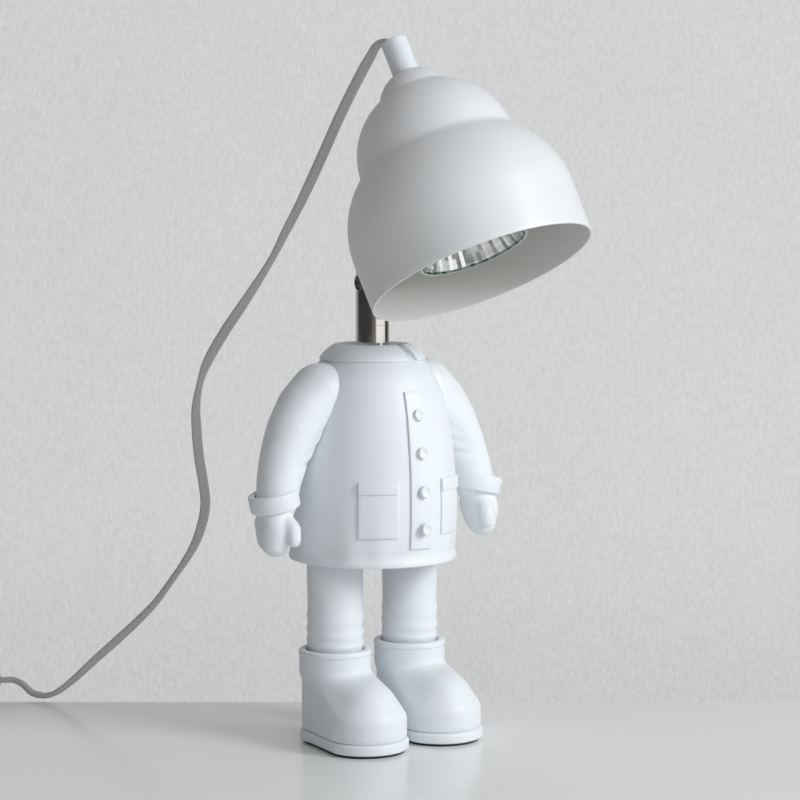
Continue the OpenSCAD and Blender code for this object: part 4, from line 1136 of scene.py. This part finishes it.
# %% The plug
RELIEF_LONG, PLUG_LONG = 24, 35
PLUG = on_floor(COIL_L + COIL_R, COIL_B + PLUG_BACK, COIL_UP + LAYER) @ turn(-90, "Z") @ turn(90, "Y")
plug = made("cube", "plug_shell", size=1, location=mm(0, 0, RELIEF_LONG + PLUG_LONG / 2))
plug.scale = mm(14.4, 34.8, PLUG_LONG)
settle(plug)
with editing(plug):
    ops.subdivide(number_cuts=5)
for vertex in plug.data.vertices:
    x, y, z = vertex.co / MM
    t = (z - RELIEF_LONG) / PLUG_LONG
    grown = min(t / 0.5, 1)
    pinch = 1 - 0.13 * exp(-((t - 0.42) / 0.2) ** 2)
    vertex.co = mm(x * (0.87 + 0.13 * grown), y * (0.5 + 0.5 * grown) * pinch, z)
bevel(plug, 2.2, 4, 40)
smooth(plug, 40)
relief_line = [(0, 0), (3.3, 0), (3.5, 0.3)]
relief_line += rings([(3.55, 1.0), (3.73, 2.9), (3.2, 3.15), (3.2, 3.7)], 7, 0.34, 3.2)
relief_line += [(5.9, 23.6), (5.9, RELIEF_LONG), (0, RELIEF_LONG)]
relief = lathed("plug_strain_relief", relief_line, steps=48, soft=40)
for piece, node in ((plug, "plug_body"), (relief, "plug_relief")):
    settle(piece, PLUG)
    dress(piece, "white_plastic", "figure", node)
count_faces(plug, relief)

# %% [markdown]
# ## The cord's facts
# Each run of cord gets its finish, and the length of the whole cord, with its stretch through the dimmer, is
# printed.

# %% The cord's facts
for piece in (cord_upper, cord_lower, cord_store):
    piece.data.materials.append(LOOKS["cord"])
cord_in_all = sum(line_length(l) for l in (upper_line, lower_line, store_line))
print("cord in all:", round(cord_in_all + (DIMMER_END - DIMMER_START) * MM, 3), "m")

# %% [markdown]
# ## Table and background
# The lamp stands on a pale, half-glossy table before a plain plaster wall. A real wall would hide the lamp
# from behind, so one wide floor serves for both: past the table's back edge, as far to each side as the
# photograph reaches, it shows the wall's tone to the camera, and so does the world above it. Both take the
# mottling from a point's direction as seen from the photograph's standpoint, which is fixed, so the two meet
# without a line.

# %% Table and background
STANDPOINT = camera.location.copy()
FRAME_EDGE, FRAME_FADE = 0.162, 0.004  # how far the photograph reaches to each side, at a distance of 1
WALL_STARTS, WALL_FULL = 0.122, 0.126  # how deep behind the origin's line the table turns into the wall


def plaster(nodes, way):
    """The wall's tone along a direction, with painted shade: darker low down and to the left."""
    ahead = nodes.reckon("MAXIMUM", nodes.dot(way, DEPTH_WAY), 0.05)
    flat = nodes.vector("DIVIDE", way, nodes.node("CombineXYZ", {}, {0: ahead, 1: ahead, 2: ahead}))
    brushed = nodes.node("Mapping", {}, {"Vector": flat, "Scale": (1, 1, 0.5)})
    fine = nodes.node("TexNoise", {}, {"Vector": brushed, "Scale": 760.0, "Detail": 4.0, "Roughness": 0.8})
    broad = nodes.node("TexNoise", {}, {"Vector": flat, "Scale": 18.0, "Detail": 2.0})
    low = nodes.ramp(nodes.part(flat, 2), -0.22, -0.12, kind="SMOOTHSTEP")
    # Painted shade and light: darker low down, lighter towards the right, where the window is.
    light = 0.21 * low + 0.10 * broad + fine + 0.35 * nodes.dot(flat, RIGHT) - 0.21
    return nodes.blend((0.48, 0.484, 0.484, 1), (0.757, 0.760, 0.763, 1), light)


table_top = made("plane", "table_top", size=5)
table = Finish("pale_table", Specular_IOR_Level=0.6)
table.give(Base_Color=table.blend((0.855, 0.86, 0.86, 1), (0.89, 0.895, 0.895, 1), table.noise(0.15, 3)),
           Roughness=0.15 + 0.08 * table.noise(0.05, 3))
from_standpoint = table.vector("SUBTRACT", table.place(), STANDPOINT)
aside = table.reckon("ABSOLUTE", table.dot(from_standpoint, RIGHT) / table.dot(from_standpoint, DEPTH_WAY))
in_frame = table.ramp(aside, FRAME_EDGE + FRAME_FADE, FRAME_EDGE)
wall_mask = table.ramp(table.dot(table.place(), DEPTH_WAY), WALL_STARTS, WALL_FULL) * in_frame
seen = table.node("LightPath", out="Is Camera Ray")
wall_tone = table.node("Emission", {}, {0: plaster(table, from_standpoint), 1: 1.0})
bare = Value(table, table.shader.outputs[0])
mixed = table.node("MixShader", {}, {0: wall_mask * seen, 1: bare, 2: wall_tone})
table.feed(table.tree.nodes["Material Output"].inputs[0], mixed)
table_top.data.materials.append(table.material)
table_top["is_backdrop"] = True
print("the wall's tone starts", WALL_STARTS, "m behind the origin's line")

# %% [markdown]
# ## Light
# Soft light falls from the right and the front. Many small lamps could give it, but two large ones throw soft
# shadows, as a window does. The world gives an even base that is darker on the left, as a room with one
# window is. What shines mirrors a sharper room of light and dark stretches, dimmer overhead.

# %% Light
ROOM = ((-180, 0.55), (-124, 0.52), (-108, 0.05), (-4, 0.05), (3, 0.2), (22, 0.24), (30, 1.4), (92, 1.4),
        (101, 0.06), (126, 0.06), (136, 0.4), (180, 0.55))  # degrees round the room, and how bright it is there
CEILING = (0.25, 0.25, 0.25, 1)
AIM = Vector((0, 0.01, 0.2))
scene.world = bpy.data.worlds.new("room")
room = Nodes(scene.world, "Background")
way = room.node("TexCoord", out="Generated")
side, toward = room.dot(way, RIGHT), room.dot(way, -DEPTH_WAY)
even = (room.ramp(side, -0.7, 0.9, 0.15, 0.56, kind="SMOOTHSTEP")
        + room.ramp(toward, -0.2, -0.75, 0.0, 0.30, kind="SMOOTHSTEP"))
round_the_room = room.reckon("ARCTAN2", side, toward) * (0.5 / pi) + 0.5
stops = [(azimuth / 360 + 0.5, (level, level, level, 1)) for azimuth, level in ROOM]
overhead = room.ramp(room.part(way, 2), 0.12, 0.45, 0.0, 0.8, kind="SMOOTHSTEP")
sharp = room.blend(room.node("ValToRGB", {"stops": stops}, {0: round_the_room}), CEILING, overhead)
diffuse = room.node("LightPath", out="Is Diffuse Ray")
tone = room.blend(sharp, room.node("CombineXYZ", {}, {0: even, 1: even, 2: even * 0.985}), diffuse)
room.give(Color=room.blend(tone, plaster(room, way), room.node("LightPath", out="Is Camera Ray")))


def soft_light(name, right, towards, up, size, power, tone):
    """A soft light to the photograph's right, towards the camera and up, aimed at the lamp."""
    data = bpy.data.lights.new(name, "AREA")
    data.size, data.energy, data.color = size, power, tone
    lamp = bpy.data.objects.new(name, data)
    lamp.location = AIM + RIGHT * right - DEPTH_WAY * towards + Vector((0, 0, up))
    lamp.rotation_euler = (AIM - lamp.location).to_track_quat("-Z", "Y").to_euler()
    scene.collection.objects.link(lamp)


soft_light("key_window", 1.4, 0.75, 0.8, 0.7, 17.9, (0.935, 0.965, 1.0))
soft_light("front_fill", 0.5, 1.6, 0.9, 0.9, 5, (0.98, 0.99, 1.0))

# %% [markdown]
# ## Sizes and the end
# The dressed lamp must stay within the solids' box. That could be judged by eye, but numbers are surer, so
# the box of what is shown is measured.

# %% Sizes and the end
low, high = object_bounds()
